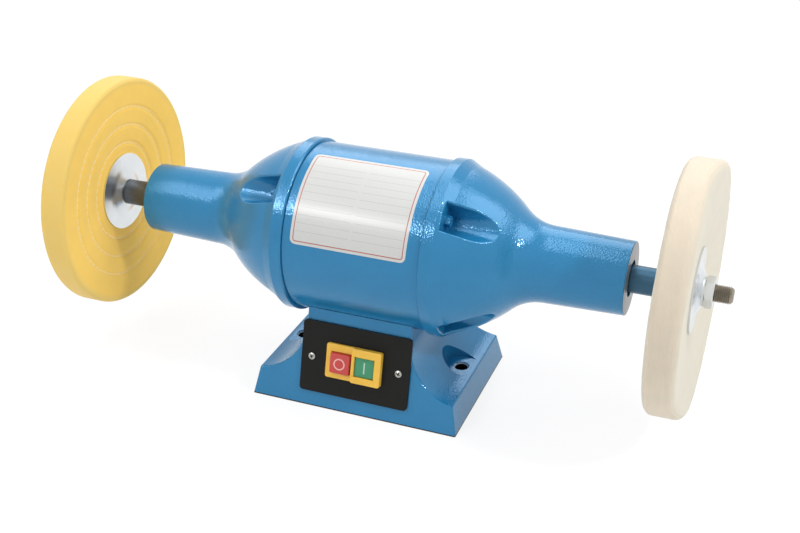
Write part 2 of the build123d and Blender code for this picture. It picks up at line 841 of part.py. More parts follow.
def make_bottom_cover():
    """Sheet steel lid, let into the underside of the base and cut round the bolt bosses."""
    inset = 2 * (base_wall + cover_gap)
    slope_room = 2 * cover_top * slope_tangent
    lid = block(
        (-(base_length - inset - slope_room) / 2, -(base_depth - inset - slope_room) / 2, cover_recess),
        ((base_length - inset - slope_room) / 2, (base_depth - inset - slope_room) / 2, cover_top),
    )
    for side in sides.values():
        x = side * bench_hole_spacing / 2
        lid -= post(bench_boss_diameter / 2 + cover_gap, 0, axis_height, x)
    for x, y in cover_post_places():
        lid -= post(cover_screw_diameter / 2 + loose_clearance, 0, axis_height, x, y)
    for x, y in strap_screw_places():
        lid -= post(strap_screw_diameter / 2 + fit_clearance, 0, axis_height, x, y)
    return lid


def cover_screw(x, y, length):
    """Low round-headed screw driven upwards into a hole."""
    shank = post(cover_screw_diameter / 2, cover_recess, cover_recess + length, x, y)
    return shank + post(cover_head_diameter / 2, cover_recess - cover_head_height, cover_recess, x, y)


def make_bottom_cover_screws():
    return group(cover_screw(x, y, cover_screw_length) for x, y in cover_post_places())


# Electrical pieces

def capacitor_axis():
    """Depth and height of the capacitor's axis: it lies on the bottom cover."""
    return capacitor_offset, cover_top + capacitor_diameter / 2


def make_run_capacitor():
    """Motor capacitor: a round can with two flat tabs at one end."""
    y, z = capacitor_axis()
    half = capacitor_length / 2
    can = rod(capacitor_diameter / 2, -half, half, y, z)
    can = fillet(can.edges(), capacitor_edge)
    for step in (-0.5, 0.5):
        low = (half - 1, y - tab_width / 2 + step * tab_spacing, z - tab_thickness / 2)
        high = (half + tab_height, y + tab_width / 2 + step * tab_spacing, z + tab_thickness / 2)
        can += block(low, high)
    return can


def strap_screw_places():
    reach = capacitor_diameter / 2 + strap_thickness + strap_gap + strap_ear / 2
    return [(0, capacitor_offset - reach), (0, capacitor_offset + reach)]


def make_capacitor_strap():
    """Bent steel strap over the capacitor, with an ear on each side."""
    y, z = capacitor_axis()
    inner = capacitor_diameter / 2 + strap_gap
    outer = inner + strap_thickness
    half = strap_width / 2
    strap = rod(outer, -half, half, y, z) + block((-half, y - outer, cover_top), (half, y + outer, z))
    ear = outer + strap_ear
    strap += block((-half, y - ear, cover_top), (half, y + ear, cover_top + strap_thickness))
    strap -= rod(inner, -half - 1, half + 1, y, z)
    strap -= block((-half - 1, y - inner, 0), (half + 1, y + inner, z))
    strap -= block((-half - 1, y - ear - 1, 0), (half + 1, y + ear + 1, cover_top))
    for x, screw_y in strap_screw_places():
        strap -= post(strap_screw_diameter / 2 + fit_clearance, 0, z, x, screw_y)
    return strap


def make_capacitor_strap_screws():
    return group(cover_screw(x, y, strap_screw_length) for x, y in strap_screw_places())


def lead_places():
    steps = [i - (lead_count - 1) / 2 for i in range(lead_count)]
    return [(lead_hole_reach, step * lead_spacing) for step in steps]


def make_terminal_block():
    """Insulating block under the lead hole, with a row of holes for the wires."""
    low = (lead_hole_reach - terminal_depth / 2, -terminal_length / 2, cover_top)
    high = (lead_hole_reach + terminal_depth / 2, terminal_length / 2, cover_top + terminal_height)
    body = block(low, high)
    top = cover_top + terminal_height
    for x, y in lead_places():
        body -= post(lead_diameter / 2 + fit_clearance, top - terminal_hole_depth, top + 1, x, y)
    return body


def make_motor_leads():
    """Insulated wires from the winding down through the barrel and the deck to the terminal block."""
    bottom = cover_top + terminal_height - terminal_hole_depth
    top = axis_height - slot_end_radius - loose_clearance
    return group(post(lead_diameter / 2, bottom, top, x, y) for x, y in lead_places())


def make_lead_grommet():
    """Rubber sleeve in the hole through the deck and the barrel."""
    outside = lead_hole_diameter / 2 - fit_clearance
    deck_radius = barrel_radius + saddle_gap + deck_thickness
    edge = lead_hole_diameter / 2 + grommet_flange
    low = axis_height - math.sqrt(deck_radius**2 - edge**2) - 2 * grommet_flange
    high = axis_height - bore_radius + grommet_flange
    sleeve = post(outside, low, high, lead_hole_reach) + post(edge, low, low + grommet_flange, lead_hole_reach)
    return sleeve - post(outside - grommet_wall, low - 1, high + 1, lead_hole_reach)


def gland_place():
    return face_plane(gland_height, turn=-1).location


def make_cable_gland():
    """Hexagon flange outside the back wall, with a hollow thread through it."""
    body = extrude(RegularPolygon(gland_flats / 2, 6, major_radius=False), gland_flange)
    inside = base_wall + gland_thread_inside
    body += Pos(0, 0, -inside / 2) * Cylinder(gland_thread_diameter / 2, inside)
    return gland_place() * (body - Cylinder(gland_bore / 2, 4 * inside))


def make_gland_cap():
    """Domed cap that screws against the gland's flange."""
    cap = Pos(0, 0, gland_flange + gland_cap_length / 2) * Cylinder(gland_cap_diameter / 2, gland_cap_length)
    cap = fillet(cap.edges().sort_by(Axis.Z)[-1:], gland_cap_round)
    return gland_place() * (cap - Cylinder(gland_bore / 2, 4 * (gland_flange + gland_cap_length)))


def make_gland_locknut():
    """Hexagon nut on the thread, against the inside of the back wall."""
    height = wall_through_slope()
    nut = extrude(RegularPolygon(gland_nut_flats / 2, 6, major_radius=False), -gland_nut_height)
    nut -= Cylinder(gland_thread_diameter / 2 + fit_clearance, 4 * gland_nut_height)
    return gland_place() * Pos(0, 0, -height) * nut


def wall_through_slope():
    """Thickness of the leaning walls, measured square to their face."""
    return base_wall * math.cos(math.radians(face_slope))


# Switch

def switch_place():
    return face_plane(plate_centre).location


def make_switch_plate():
    """Flat black plate on the front face, with a window for the switch."""
    plate = rounded_plate(plate_width, plate_height, plate_thickness, plate_round)
    window = Box(switch_width + 2 * window_gap, switch_height + 2 * window_gap, 4 * plate_thickness)
    plate -= Pos(switch_shift, switch_offset, 0) * window
    for x in (-plate_screw_spacing / 2, plate_screw_spacing / 2):
        plate -= Pos(x, 0, 0) * Cylinder(plate_screw_diameter / 2 + loose_clearance, 4 * plate_thickness)
    return switch_place() * plate


def make_switch_plate_screws():
    """Round-headed screws, one on each side of the switch."""
    screws = []
    for x in (-plate_screw_spacing / 2, plate_screw_spacing / 2):
        shank = Pos(x, 0, plate_thickness - plate_screw_length / 2) * Cylinder(
            plate_screw_diameter / 2, plate_screw_length
        )
        head = Pos(x, 0, plate_thickness + plate_head_height / 2) * Cylinder(
            plate_head_diameter / 2, plate_head_height
        )
        head = fillet(head.edges().sort_by(Axis.Z)[-1:], plate_head_round)
        screws.append(switch_place() * (shank + head))
    return group(screws)


def button_hole(x, low, high):
    """Room for a button and its sliding gap."""
    width = button_width + 2 * button_gap
    height = button_height + 2 * button_gap
    return Pos(x, button_line, (low + high) / 2) * Box(width, height, high - low)


def make_switch_bezel():
    """Yellow frame on the plate: low round the stop button, a raised collar round the start button."""
    collar_height = bezel_thickness + collar_rise
    collar = soft_edged_plate(collar_width, collar_height)
    frame = soft_edged_plate(bezel_width, bezel_thickness) + Pos((bezel_width - collar_width) / 2, 0, 0) * collar
    frame = Pos(bezel_shift, switch_offset, plate_thickness) * frame
    for x in (stop_button_x, start_button_x):
        frame -= button_hole(x, 0, 2 * (plate_thickness + collar_height))
    mouths = []
    for face in frame.faces().filter_by(Axis.Z):
        if face.center().Z > plate_thickness + bezel_thickness / 2:
            mouths.extend(edge for wire in face.inner_wires() for edge in wire.edges())
    return switch_place() * chamfer(mouths, bezel_mouth)


def soft_edged_plate(width, height):
    """Plate as tall as the bezel, with its upper edges rounded."""
    plate = rounded_plate(width, bezel_height, height, bezel_round)
    return fillet(plate.faces().sort_by(Axis.Z)[-1].edges(), bezel_edge_round)


def make_switch_case():
    """Black case behind the plate, with a guide for each button, its stem and its spring."""
    floor = plate_thickness - button_depth - spring_length
    case = Pos(switch_shift, switch_offset, plate_thickness - switch_depth / 2) * Box(
        switch_width, switch_height, switch_depth
    )
    for x in (stop_button_x, start_button_x):
        case -= button_hole(x, floor, plate_thickness + 1)
        stem_room = button_stem_length + button_travel + 1 - spring_length
        well = Cylinder(button_stem_diameter / 2 + button_gap, 2 * stem_room)
        case -= Pos(x, button_line, floor) * well
    return switch_place() * case


def make_button(x, top):
    """Square push button with a guide stem behind it."""
    bottom = plate_thickness - button_depth
    cap = Pos(x, button_line, (top + bottom) / 2) * Box(button_width, button_height, top - bottom)
    cap = fillet(cap.edges().filter_by(Axis.Z), button_round)
    cap = fillet(cap.faces().sort_by(Axis.Z)[-1].edges(), button_edge_round)
    stem = Pos(x, button_line, bottom - button_stem_length / 2)
    return switch_place() * (cap + stem * Cylinder(button_stem_diameter / 2, button_stem_length))


def make_stop_button():
    return make_button(stop_button_x, plate_thickness + bezel_thickness + stop_button_rise)


def make_start_button():
    return make_button(start_button_x, plate_thickness + bezel_thickness + collar_rise - start_button_sink)


def make_button_spring(x):
    """Coil spring round the stem, between the button and the floor of its guide."""
    floor = plate_thickness - button_depth - spring_length
    coil_radius = spring_diameter / 2 - spring_wire / 2
    free_height = spring_length - spring_wire - 2 * fit_clearance
    helix = Helix(free_height / spring_turns, free_height, coil_radius)
    wire = sweep(Plane(helix @ 0, z_dir=helix % 0) * Circle(spring_wire / 2), path=helix)
    return switch_place() * Pos(x, button_line, floor + spring_wire / 2 + fit_clearance) * wire


pieces = {
    "pedestal_base": make_pedestal_base(),
    "bottom_cover": make_bottom_cover(),
    "bottom_cover_screws": make_bottom_cover_screws(),
    "motor_barrel": make_motor_barrel(),
    "barrel_mount_bolts": make_barrel_mount_bolts(),
    "tie_bolts": make_tie_bolts(),
    "tie_bolt_nuts": make_tie_bolt_nuts(),
    "tie_bolt_washers": make_tie_bolt_washers(),
    "stator_core": make_stator_core(),
    "stator_winding": make_stator_winding(),
    "rotor_core": make_rotor_core(),
    "rotor_cage": make_rotor_cage(),
    "arbor_shaft": make_arbor_shaft(),
    "bearing_wave_washer": make_wave_washer(),
    "run_capacitor": make_run_capacitor(),
    "capacitor_strap": make_capacitor_strap(),
    "capacitor_strap_screws": make_capacitor_strap_screws(),
    "terminal_block": make_terminal_block(),
    "motor_leads": make_motor_leads(),
    "lead_grommet": make_lead_grommet(),
    "cable_gland": make_cable_gland(),
    "gland_cap": make_gland_cap(),
    "gland_locknut": make_gland_locknut(),
    "switch_plate": make_switch_plate(),
    "switch_plate_screws": make_switch_plate_screws(),
    "switch_bezel": make_switch_bezel(),
    "switch_case": make_switch_case(),
    "stop_button": make_stop_button(),
    "start_button": make_start_button(),
    "stop_button_spring": make_button_spring(stop_button_x),
    "start_button_spring": make_button_spring(start_button_x),
    "left_buff": make_left_buff(),
    "right_buff": make_right_buff(),
}
for name, side in sides.items():
    pieces[f"{name}_end_bell"] = make_end_bell(side)
    pieces[f"{name}_bearing_outer_race"] = make_outer_race(side)
    pieces[f"{name}_bearing_inner_race"] = make_inner_race(side)
    pieces[f"{name}_bearing_balls"] = make_balls(side)
    pieces[f"{name}_bearing_cage"] = make_cage(side)
    pieces[f"{name}_bearing_shields"] = make_shields(side)
    pieces[f"{name}_inner_flange"] = make_inner_flange(side)
    pieces[f"{name}_outer_flange"] = make_outer_flange(side)
    pieces[f"{name}_spindle_nut"] = make_spindle_nut(side)

os.makedirs("parts", exist_ok=True)
for name, piece in pieces.items():
    export_step(piece, f"parts/{name}.step")
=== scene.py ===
# %% [markdown]
# # A bench polishing machine
# The machine is a motor between two bottle-shaped end bells, on a scooped cast base. Each end of its
# shaft clamps a cotton buff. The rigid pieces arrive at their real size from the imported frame. This
# lesson gives them their finishes and makes the soft wheels, the threads, the springs, the bare label and
# the marks on the buttons.

# %% Load the frame
import json
import math

import bmesh
import bpy
import numpy
from mathutils import Matrix, Vector, noise


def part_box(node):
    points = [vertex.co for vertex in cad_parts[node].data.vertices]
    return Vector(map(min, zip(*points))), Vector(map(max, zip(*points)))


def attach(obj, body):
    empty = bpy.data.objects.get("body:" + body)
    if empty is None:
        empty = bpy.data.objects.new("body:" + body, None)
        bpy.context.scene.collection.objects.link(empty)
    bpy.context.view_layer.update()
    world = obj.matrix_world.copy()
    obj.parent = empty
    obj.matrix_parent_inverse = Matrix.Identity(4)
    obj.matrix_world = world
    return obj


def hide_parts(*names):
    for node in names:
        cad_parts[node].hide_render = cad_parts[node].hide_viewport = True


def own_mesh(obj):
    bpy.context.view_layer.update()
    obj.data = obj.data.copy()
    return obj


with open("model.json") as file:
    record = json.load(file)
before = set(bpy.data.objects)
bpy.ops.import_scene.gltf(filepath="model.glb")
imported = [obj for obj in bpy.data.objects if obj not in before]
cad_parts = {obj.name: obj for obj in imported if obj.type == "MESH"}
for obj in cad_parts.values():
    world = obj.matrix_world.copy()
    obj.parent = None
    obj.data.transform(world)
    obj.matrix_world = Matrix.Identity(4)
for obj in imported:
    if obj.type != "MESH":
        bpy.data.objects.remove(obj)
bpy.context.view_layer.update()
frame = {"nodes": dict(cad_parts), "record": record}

nodes = frame["nodes"]
scene = bpy.context.scene
scene.view_settings.view_transform = "Standard"

# %% [markdown]
# ## Where things are
# Most places are read from the frame, so that few have to be given. The shaft's axis runs along X,
# and most round pieces turn about it. Helpers that work round that axis keep the later cells short.

# %% Places on the machine
millimetre = 0.001
record = frame["record"]
mounts = {mount["name"]: mount for mount in record["mounts"]}
shaft_low, shaft_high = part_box("arbor_shaft")
axis_height = (shaft_low.z + shaft_high.z) / 2
axis_point = Vector((0.0, 0.0, axis_height))
shaft_line = Vector((1.0, 0.0, 0.0))
stud_reach = shaft_high.x
barrel_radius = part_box("motor_barrel")[1].z - axis_height
barrel_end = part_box("motor_barrel")[1].x
barrel_bottom = axis_height - barrel_radius
nose_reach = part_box("right_end_bell")[1].x
bench_bolts = mounts["bench_bolts"]["dims"]
bench_hole_reach = bench_bolts["spacing_x_mm"] / 2 * millimetre
bench_hole_radius = bench_bolts["hole_r_mm"] * millimetre
face_lean = math.asin(mounts["cord_entry"]["axis"][2])
print("axis height", round(axis_height, 4), "stud reach", round(stud_reach, 4))

# %% [markdown]
# ## The camera
# The photograph was solved as a pinhole view of the two wheels, the bells and the base. The camera
# stands a metre away, to the right and above, and leans by a third of a degree.

# %% Camera
photo_width = 800
focal_pixels = 1221.98
view_azimuth = math.radians(20.834)
view_elevation = math.radians(27.561)
view_lean = math.radians(0.307)
view_distance = 1.01312
view_target = Vector((0.016885, 0.0, 0.10895))

towards_camera = Vector((
    math.sin(view_azimuth) * math.cos(view_elevation),
    -math.cos(view_azimuth) * math.cos(view_elevation),
    math.sin(view_elevation),
))
level_right = Vector((math.cos(view_azimuth), math.sin(view_azimuth), 0.0))
level_up = towards_camera.cross(level_right)
picture_right = level_right * math.cos(view_lean) + level_up * math.sin(view_lean)
picture_up = towards_camera.cross(picture_right)

camera_data = bpy.data.cameras.new("photo_camera")
camera_data.sensor_width = 36.0
camera_data.lens = camera_data.sensor_width * focal_pixels / photo_width
camera = bpy.data.objects.new("photo_camera", camera_data)
scene.collection.objects.link(camera)
turn = Matrix((picture_right, picture_up, towards_camera)).transposed().to_4x4()
camera.matrix_world = Matrix.Translation(view_target + towards_camera * view_distance) @ turn
scene.camera = camera
print("lens", round(camera_data.lens, 2), "mm")

# %% [markdown]
# ## Writing materials as sums
# A material is a graph of nodes, and a long graph is hard to read as code. One small class wraps a
# socket, so that `1 - mask` or `wave * 0.5` adds the Math nodes by itself. Its one other method makes
# any other node: settings first, then the values or links of its sockets.

# %% The wire class
class Wire:
    """An output socket that can be calculated with."""

    def __init__(self, socket):
        self.socket = socket
        self.tree = socket.id_data

    def node(self, kind, settings=None, sockets=None, output=0):
        made = self.tree.nodes.new(kind)
        for name, value in (settings or {}).items():
            setattr(made, name, value)
        plug_in(made, sockets or {})
        return Wire(made.outputs[output])

    def math(self, operation, first, second=0.0):
        return self.node("ShaderNodeMath", {"operation": operation}, {0: first, 1: second})

    def __add__(self, other):
        return self.math("ADD", self, other)

    def __radd__(self, other):
        return self.math("ADD", other, self)

    def __sub__(self, other):
        return self.math("SUBTRACT", self, other)

    def __rsub__(self, other):
        return self.math("SUBTRACT", other, self)

    def __mul__(self, other):
        return self.math("MULTIPLY", self, other)

    def __rmul__(self, other):
        return self.math("MULTIPLY", other, self)

    def __gt__(self, other):
        return self.math("GREATER_THAN", self, other)

    def __lt__(self, other):
        return self.math("LESS_THAN", self, other)

    def __abs__(self):
        return self.math("ABSOLUTE", self)


def plug_in(target, sockets):
    """Link wires to a node's sockets and set the other values."""
    for key, value in sockets.items():
        if isinstance(value, Wire):
            value.tree.links.new(value.socket, target.inputs[key])
        else:
            target.inputs[key].default_value = value


# %% [markdown]
# Each finish starts from the Principled shader and the object's own coordinates. Those coordinates are
# metres in the machine's frame here, so a pattern keeps its real scale on every piece. Colours are
# written as they look on screen and turned into linear light.

# %% Helpers for finishes
def linear(red, green, blue):
    """A colour given as 0 to 255 on screen, in linear light."""
    shares = [value / 255 for value in (red, green, blue)]
    return [s / 12.92 if s <= 0.04045 else ((s + 0.055) / 1.055) ** 2.4 for s in shares] + [1.0]


def darker(colour, share):
    """A colour with a share of its light."""
    return [value * share for value in colour[:3]] + [1.0]


class Finish:
    """A material with its shader and its coordinates at hand."""

    def __init__(self, name, coordinates="Object", **sockets):
        self.material = bpy.data.materials.new(name)
        self.material.use_nodes = True
        self.shader = self.material.node_tree.nodes["Principled BSDF"]
        texture = self.material.node_tree.nodes.new("ShaderNodeTexCoord")
        self.place = Wire(texture.outputs[coordinates])
        self.set(**sockets)

    def set(self, **sockets):
        plug_in(self.shader, {name.replace("_", " "): value for name, value in sockets.items()})

    def axes(self):
        """The three coordinates as separate values."""
        split = self.place.node("ShaderNodeSeparateXYZ", sockets={0: self.place})
        outputs = split.socket.node.outputs
        return Wire(outputs[0]), Wire(outputs[1]), Wire(outputs[2])

    def length(self, first, second):
        """Distance from the origin of two values."""
        return self.place.math("SQRT", first * first + second * second)

    def wave(self, value, pitch):
        """A sine along a value, from -1 to 1, that repeats at a pitch."""
        return self.place.math("SINE", value * (2 * math.pi / pitch))

    def noise(self, size, detail):
        """Cloudy values about 0.5, with blotches of a given size in metres."""
        sockets = {"Vector": self.place, "Scale": 1 / size, "Detail": detail}
        return self.place.node("ShaderNodeTexNoise", sockets=sockets)

    def cells(self, size):
        """Distance to scattered points, a given size apart in metres."""
        sockets = {"Vector": self.place, "Scale": 1 / size}
        return self.place.node("ShaderNodeTexVoronoi", {"feature": "SMOOTH_F1"}, sockets)

    def blend(self, share, first, second):
        """Colour between two colours."""
        sockets = {0: share, 6: first, 7: second}
        return self.place.node("ShaderNodeMix", {"data_type": "RGBA"}, sockets, output=2)

    def fit(self, value, low, high, to_low=0.0, to_high=1.0):
        """A value's range stretched to another, without going past it."""
        sockets = {0: value, 1: low, 2: high, 3: to_low, 4: to_high}
        return self.place.node("ShaderNodeMapRange", sockets=sockets)

    def bump(self, height, distance, strength=1.0):
        """Surface relief, with the rise in metres that a height of 1 stands for."""
        sockets = {"Height": height, "Distance": distance, "Strength": strength}
        self.set(Normal=self.place.node("ShaderNodeBump", sockets=sockets))


def dress(material, *names):
    """Give CAD nodes a finish."""
    for name in names:
        slots = nodes[name].data.materials
        slots.clear()
        slots.append(material)
    print(material.name, "on", ", ".join(names))


# %% [markdown]
# ## Blue hammered enamel
# The castings, the barrel and the bolts in the pockets have a blue stoved enamel with a fine hammered
# skin: soft dimples about a millimetre apart that break the highlights into sparkles. A clear coat would
# stay smooth over the relief, so the gloss comes from the paint's own low roughness. Metal flakes in the
# paint tint that gloss blue, and a small share of Metallic does the same. Masks find where the paint
# stops: the noses are faced in a lathe after painting. Other masks paint light and shade into the colour:
# painted shade darkens the inside of the bench holes, a painted highlight lightens their rims, and a
# painted contact shadow darkens the foot's lowest edge. A dark line shows where the barrel meets each
# bell.

# %% Blue enamel
flake_share = 0.16
faced_depth = 0.15 * millimetre
faced_metal = 0.7
bench_seat_height = 24.9 * millimetre
bench_seat_margin = 2.0 * millimetre
# Painted shade inside the bench holes and a painted highlight on their rims.
hole_shade_margin = 0.1 * millimetre
hole_highlight_margin = 0.9 * millimetre
# Height of the painted contact shadow along the foot's lowest edge.
contact_shadow_height = 1.0 * millimetre
joint_line = 0.6 * millimetre
joint_strength = 0.8
dimple_size = 1.1 * millimetre
dimple_depth = 0.17 * millimetre


def blue_enamel():
    finish = Finish("blue_enamel", Specular_IOR_Level=0.5)
    along, across, up = finish.axes()
    faced = abs(along) > nose_reach - faced_depth
    from_hole = finish.length(abs(along) - bench_hole_reach, across)
    low = up < bench_seat_height + bench_seat_margin
    # Painted shade darkens each bench hole's wall, and a painted highlight lightens its rim.
    hole_shade = (from_hole < bench_hole_radius + hole_shade_margin) * low
    hole_highlight = (from_hole < bench_hole_radius + hole_highlight_margin) * low - hole_shade
    # Painted contact shadow along the foot's lowest edge.
    contact_shadow = up < contact_shadow_height
    at_joint = abs(abs(along) - barrel_end + joint_line / 2) < joint_line / 2
    at_skin = finish.length(across, up - axis_height) > barrel_radius - joint_line
    joint = at_joint * at_skin * (up > barrel_bottom)
    clouds = finish.noise(size=35 * millimetre, detail=2.0)
    dimples = finish.cells(dimple_size)
    peel = finish.noise(size=0.7 * millimetre, detail=1.0)
    enamel = finish.blend(clouds, linear(29, 119, 167), linear(37, 128, 177))
    jointed = finish.blend(joint * joint_strength, enamel, linear(16, 40, 66))
    # The pale rim colour is a painted highlight; the dark colour is painted shade and contact shadow.
    painted = finish.blend(hole_highlight, jointed, linear(176, 196, 206))
    with_painted_shade = finish.blend(hole_shade + contact_shadow, painted, linear(26, 27, 29))
    finish.set(
        Base_Color=finish.blend(faced, with_painted_shade, linear(180, 180, 185)),
        Roughness=0.05 + 0.05 * peel + 0.3 * faced,
        Metallic=flake_share + faced * faced_metal,
    )
    finish.bump(dimples * dimples + peel * 0.1, dimple_depth)
    return finish.material


enamel_blue = blue_enamel()
dress(
    enamel_blue,
    "pedestal_base", "motor_barrel", "left_end_bell", "right_end_bell",
    "tie_bolts", "tie_bolt_nuts", "tie_bolt_washers",
)

# %% [markdown]
# ## Metals
# Clamping flanges and nuts are bright zinc, smooth enough to mirror the shaft, with faint lathe rings.
# The shaft is darker oiled steel, coloured bluer on its right half, and the screws of the switch are
# plain. Inside, the cores show the edges of stacked sheets. Fine rings are a sine of the distance from
# the axis, or along it, that feeds a bump.

# %% Metal finishes
lathe_ring_pitch = 0.5 * millimetre
turning_pitch = 0.35 * millimetre
sheet_thickness = 0.5 * millimetre
right_half_blue = linear(48, 88, 112)


def zinc():
    finish = Finish("bright_zinc", Metallic=1.0, Roughness=0.27)
    across, up = finish.axes()[1:]
    clouds = finish.noise(size=18 * millimetre, detail=2.0)
    rings = finish.wave(finish.length(across, up - axis_height), lathe_ring_pitch)
    finish.set(Base_Color=finish.blend(clouds, linear(208, 212, 215), linear(226, 229, 231)))
    finish.bump(rings, distance=0.004 * millimetre)
    return finish.material


def turned_steel(name, dark, light, roughness, right_blue_share=0.0):
    """Oiled steel from the lathe, coloured bluer on the right half by a given share."""
    finish = Finish(name, Metallic=1.0)
    along = finish.axes()[0]
    clouds = finish.noise(size=9 * millimetre, detail=4.0)
    steel = finish.blend(clouds, dark, light)
    finish.set(
        Base_Color=finish.blend((along > 0.0) * right_blue_share, steel, right_half_blue),
        Roughness=finish.fit(clouds, 0.3, 0.7, roughness, roughness + 0.12),
    )
    finish.bump(finish.wave(along, turning_pitch), distance=0.008 * millimetre, strength=0.5)
    return finish.material


def stacked_sheets():
    finish = Finish("stacked_sheets", Metallic=1.0, Roughness=0.45)
    sheets = finish.wave(finish.axes()[0], sheet_thickness)
    shade = finish.fit(sheets, -1.0, 1.0)
    finish.set(Base_Color=finish.blend(shade, linear(92, 92, 96), linear(140, 140, 145)))
    finish.bump(sheets, distance=0.04 * millimetre, strength=0.6)
    return finish.material


def plain_metal(name, colour, roughness, grain):
    """Metal with faint clouds, and the size of its grain in millimetres."""
    finish = Finish(name, Metallic=1.0)
    clouds = finish.noise(grain * millimetre, detail=4.0)
    finish.set(
        Base_Color=finish.blend(clouds, darker(colour, 0.82), colour),
        Roughness=roughness + 0.15 * clouds,
    )
    finish.bump(clouds, distance=0.04 * millimetre, strength=0.4)
    return finish.material


# %% [markdown]
# Every metal node of the frame now gets one of these finishes. The small steel pieces differ only in
# colour, gloss and grain, so one function makes them all.

# %% Metals on the machine
bright_zinc = zinc()
shaft_steel = turned_steel(
    "shaft_steel", linear(76, 81, 86), linear(106, 111, 117), roughness=0.26, right_blue_share=0.8
)
thread_steel = turned_steel("thread_steel", linear(126, 119, 107), linear(168, 160, 146), roughness=0.2)
screw_steel = plain_metal("screw_steel", linear(186, 186, 182), roughness=0.3, grain=2.0)
sheet_steel = plain_metal("sheet_steel", linear(150, 152, 155), roughness=0.38, grain=20.0)
copper = plain_metal("varnished_copper", linear(186, 110, 62), roughness=0.30, grain=4.0)
aluminium = plain_metal("cast_aluminium", linear(190, 190, 194), roughness=0.42, grain=3.0)
ground_steel = plain_metal("ground_steel", linear(205, 206, 208), roughness=0.14, grain=2.0)
pressed_steel = plain_metal("pressed_steel", linear(172, 173, 176), roughness=0.28, grain=4.0)
dress(
    bright_zinc,
    "left_inner_flange", "left_outer_flange", "left_spindle_nut",
    "right_inner_flange", "right_outer_flange", "right_spindle_nut",
    "bottom_cover_screws", "barrel_mount_bolts", "capacitor_strap", "capacitor_strap_screws",
)
dress(stacked_sheets(), "stator_core", "rotor_core")
dress(sheet_steel, "bottom_cover")
dress(copper, "stator_winding")
dress(aluminium, "rotor_cage")
for side in ("left", "right"):
    dress(ground_steel, *(f"{side}_bearing_{part}" for part in ("outer_race", "inner_race", "balls")))
    dress(pressed_steel, f"{side}_bearing_cage", f"{side}_bearing_shields")
dress(pressed_steel, "bearing_wave_washer")

# %% [markdown]
# ## Plastics and rubber
# The switch is glossy moulded plastic with a faint waviness. Cases and the gland are fine matt black.
# The plate behind the switch is satin black paint.

# %% Plastic finishes
def moulded(name, colour, roughness, grain, relief=0.05, specular=0.5):
    """A moulded or painted skin, with its grain and the height of its relief in millimetres."""
    finish = Finish(name, Specular_IOR_Level=specular)
    clouds = finish.noise(grain * millimetre, detail=3.0)
    finish.set(
        Base_Color=finish.blend(clouds, darker(colour, 0.88), colour),
        Roughness=roughness + 0.1 * clouds,
    )
    finish.bump(clouds, relief * millimetre, strength=0.5)
    return finish.material


switch_yellow = moulded("switch_yellow", linear(248, 196, 70), roughness=0.16, grain=6.0)
stop_red = moulded("stop_red", linear(202, 70, 66), roughness=0.30, grain=6.0)
start_green = moulded("start_green", linear(62, 148, 108), roughness=0.30, grain=6.0)
black_moulding = moulded("black_moulding", linear(38, 38, 38), roughness=0.46, grain=1.2)
plate_black = moulded(
    "plate_black", linear(20, 20, 18), roughness=0.50, grain=1.6, relief=0.06, specular=0.2
)
capacitor_can = moulded("capacitor_can", linear(222, 221, 212), roughness=0.36, grain=10.0, relief=0.04)
lead_insulation = moulded("lead_insulation", linear(150, 44, 38), roughness=0.40, grain=4.0, relief=0.03)
black_rubber = moulded("black_rubber", linear(30, 30, 30), roughness=0.62, grain=2.0)
dress(switch_yellow, "switch_bezel")
dress(stop_red, "stop_button")
dress(start_green, "start_button")
dress(black_moulding, "switch_case", "terminal_block", "cable_gland", "gland_cap", "gland_locknut")
dress(plate_black, "switch_plate")
dress(capacitor_can, "run_capacitor")
dress(lead_insulation, "motor_leads")
dress(black_rubber, "lead_grommet")

# %% [markdown]
# ## Tools for making pieces
# New pieces start as a bmesh. A turned shape is a half section, a row of joined vertices, that the spin
# operator sweeps about the shaft. Each finished piece is told which body of the machine it moves with.

# %% Tools for pieces
def chain(bm, places, closed):
    """A row of joined vertices, with its edges."""
    row = [bm.verts.new(place) for place in places]
    following = row[1:] + row[:1] if closed else row[1:]
    return row + [bm.edges.new(pair) for pair in zip(row, following)]


def spun(outline, steps, closed=True):
    """Sweep a half section of (along, radius) pairs about the shaft's axis."""
    bm = bmesh.new()
    geometry = chain(bm, [(along, 0.0, axis_height + radius) for along, radius in outline], closed)
    bmesh.ops.spin(
        bm, geom=geometry, cent=axis_point, axis=shaft_line, angle=2 * math.pi, steps=steps, use_merge=True
    )
    bmesh.ops.remove_doubles(bm, verts=bm.verts, dist=0.002 * millimetre)
    return bm


def add_to(bm, other):
    """Add a bmesh to another one and free it."""
    scrap = bpy.data.meshes.new("scrap")
    other.to_mesh(scrap)
    other.free()
    bm.from_mesh(scrap)
    bpy.data.meshes.remove(scrap)


def finish_piece(name, bm, body, slot, *materials, crease=35):
    """Turn a bmesh into an object that moves with a body of the machine."""
    bmesh.ops.recalc_face_normals(bm, faces=bm.faces)
    mesh = bpy.data.meshes.new(name)
    bm.to_mesh(mesh)
    bm.free()
    mesh.shade_smooth()
    mesh.set_sharp_from_angle(angle=math.radians(crease))
    for material in materials:
        mesh.materials.append(material)
    made = bpy.data.objects.new(name, mesh)
    scene.collection.objects.link(made)
    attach(made, body)
    print(name, len(mesh.polygons), "faces")
    return made


# %% [markdown]
# ## Cotton
# Both buffs are stacks of cotton discs. Their faces show the weave, a sine in each direction, and their
# rims the frayed edges of the plies. Each buff's rim is given its own colour, which on the yellow one is
# paler and less deep than its faces.

# %% Cotton finish
wheel_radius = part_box("left_buff")[1].z - axis_height
weave_pitch = 1.1 * millimetre
rim_colour_start = 7.0 * millimetre
rim_colour_end = 1.0 * millimetre


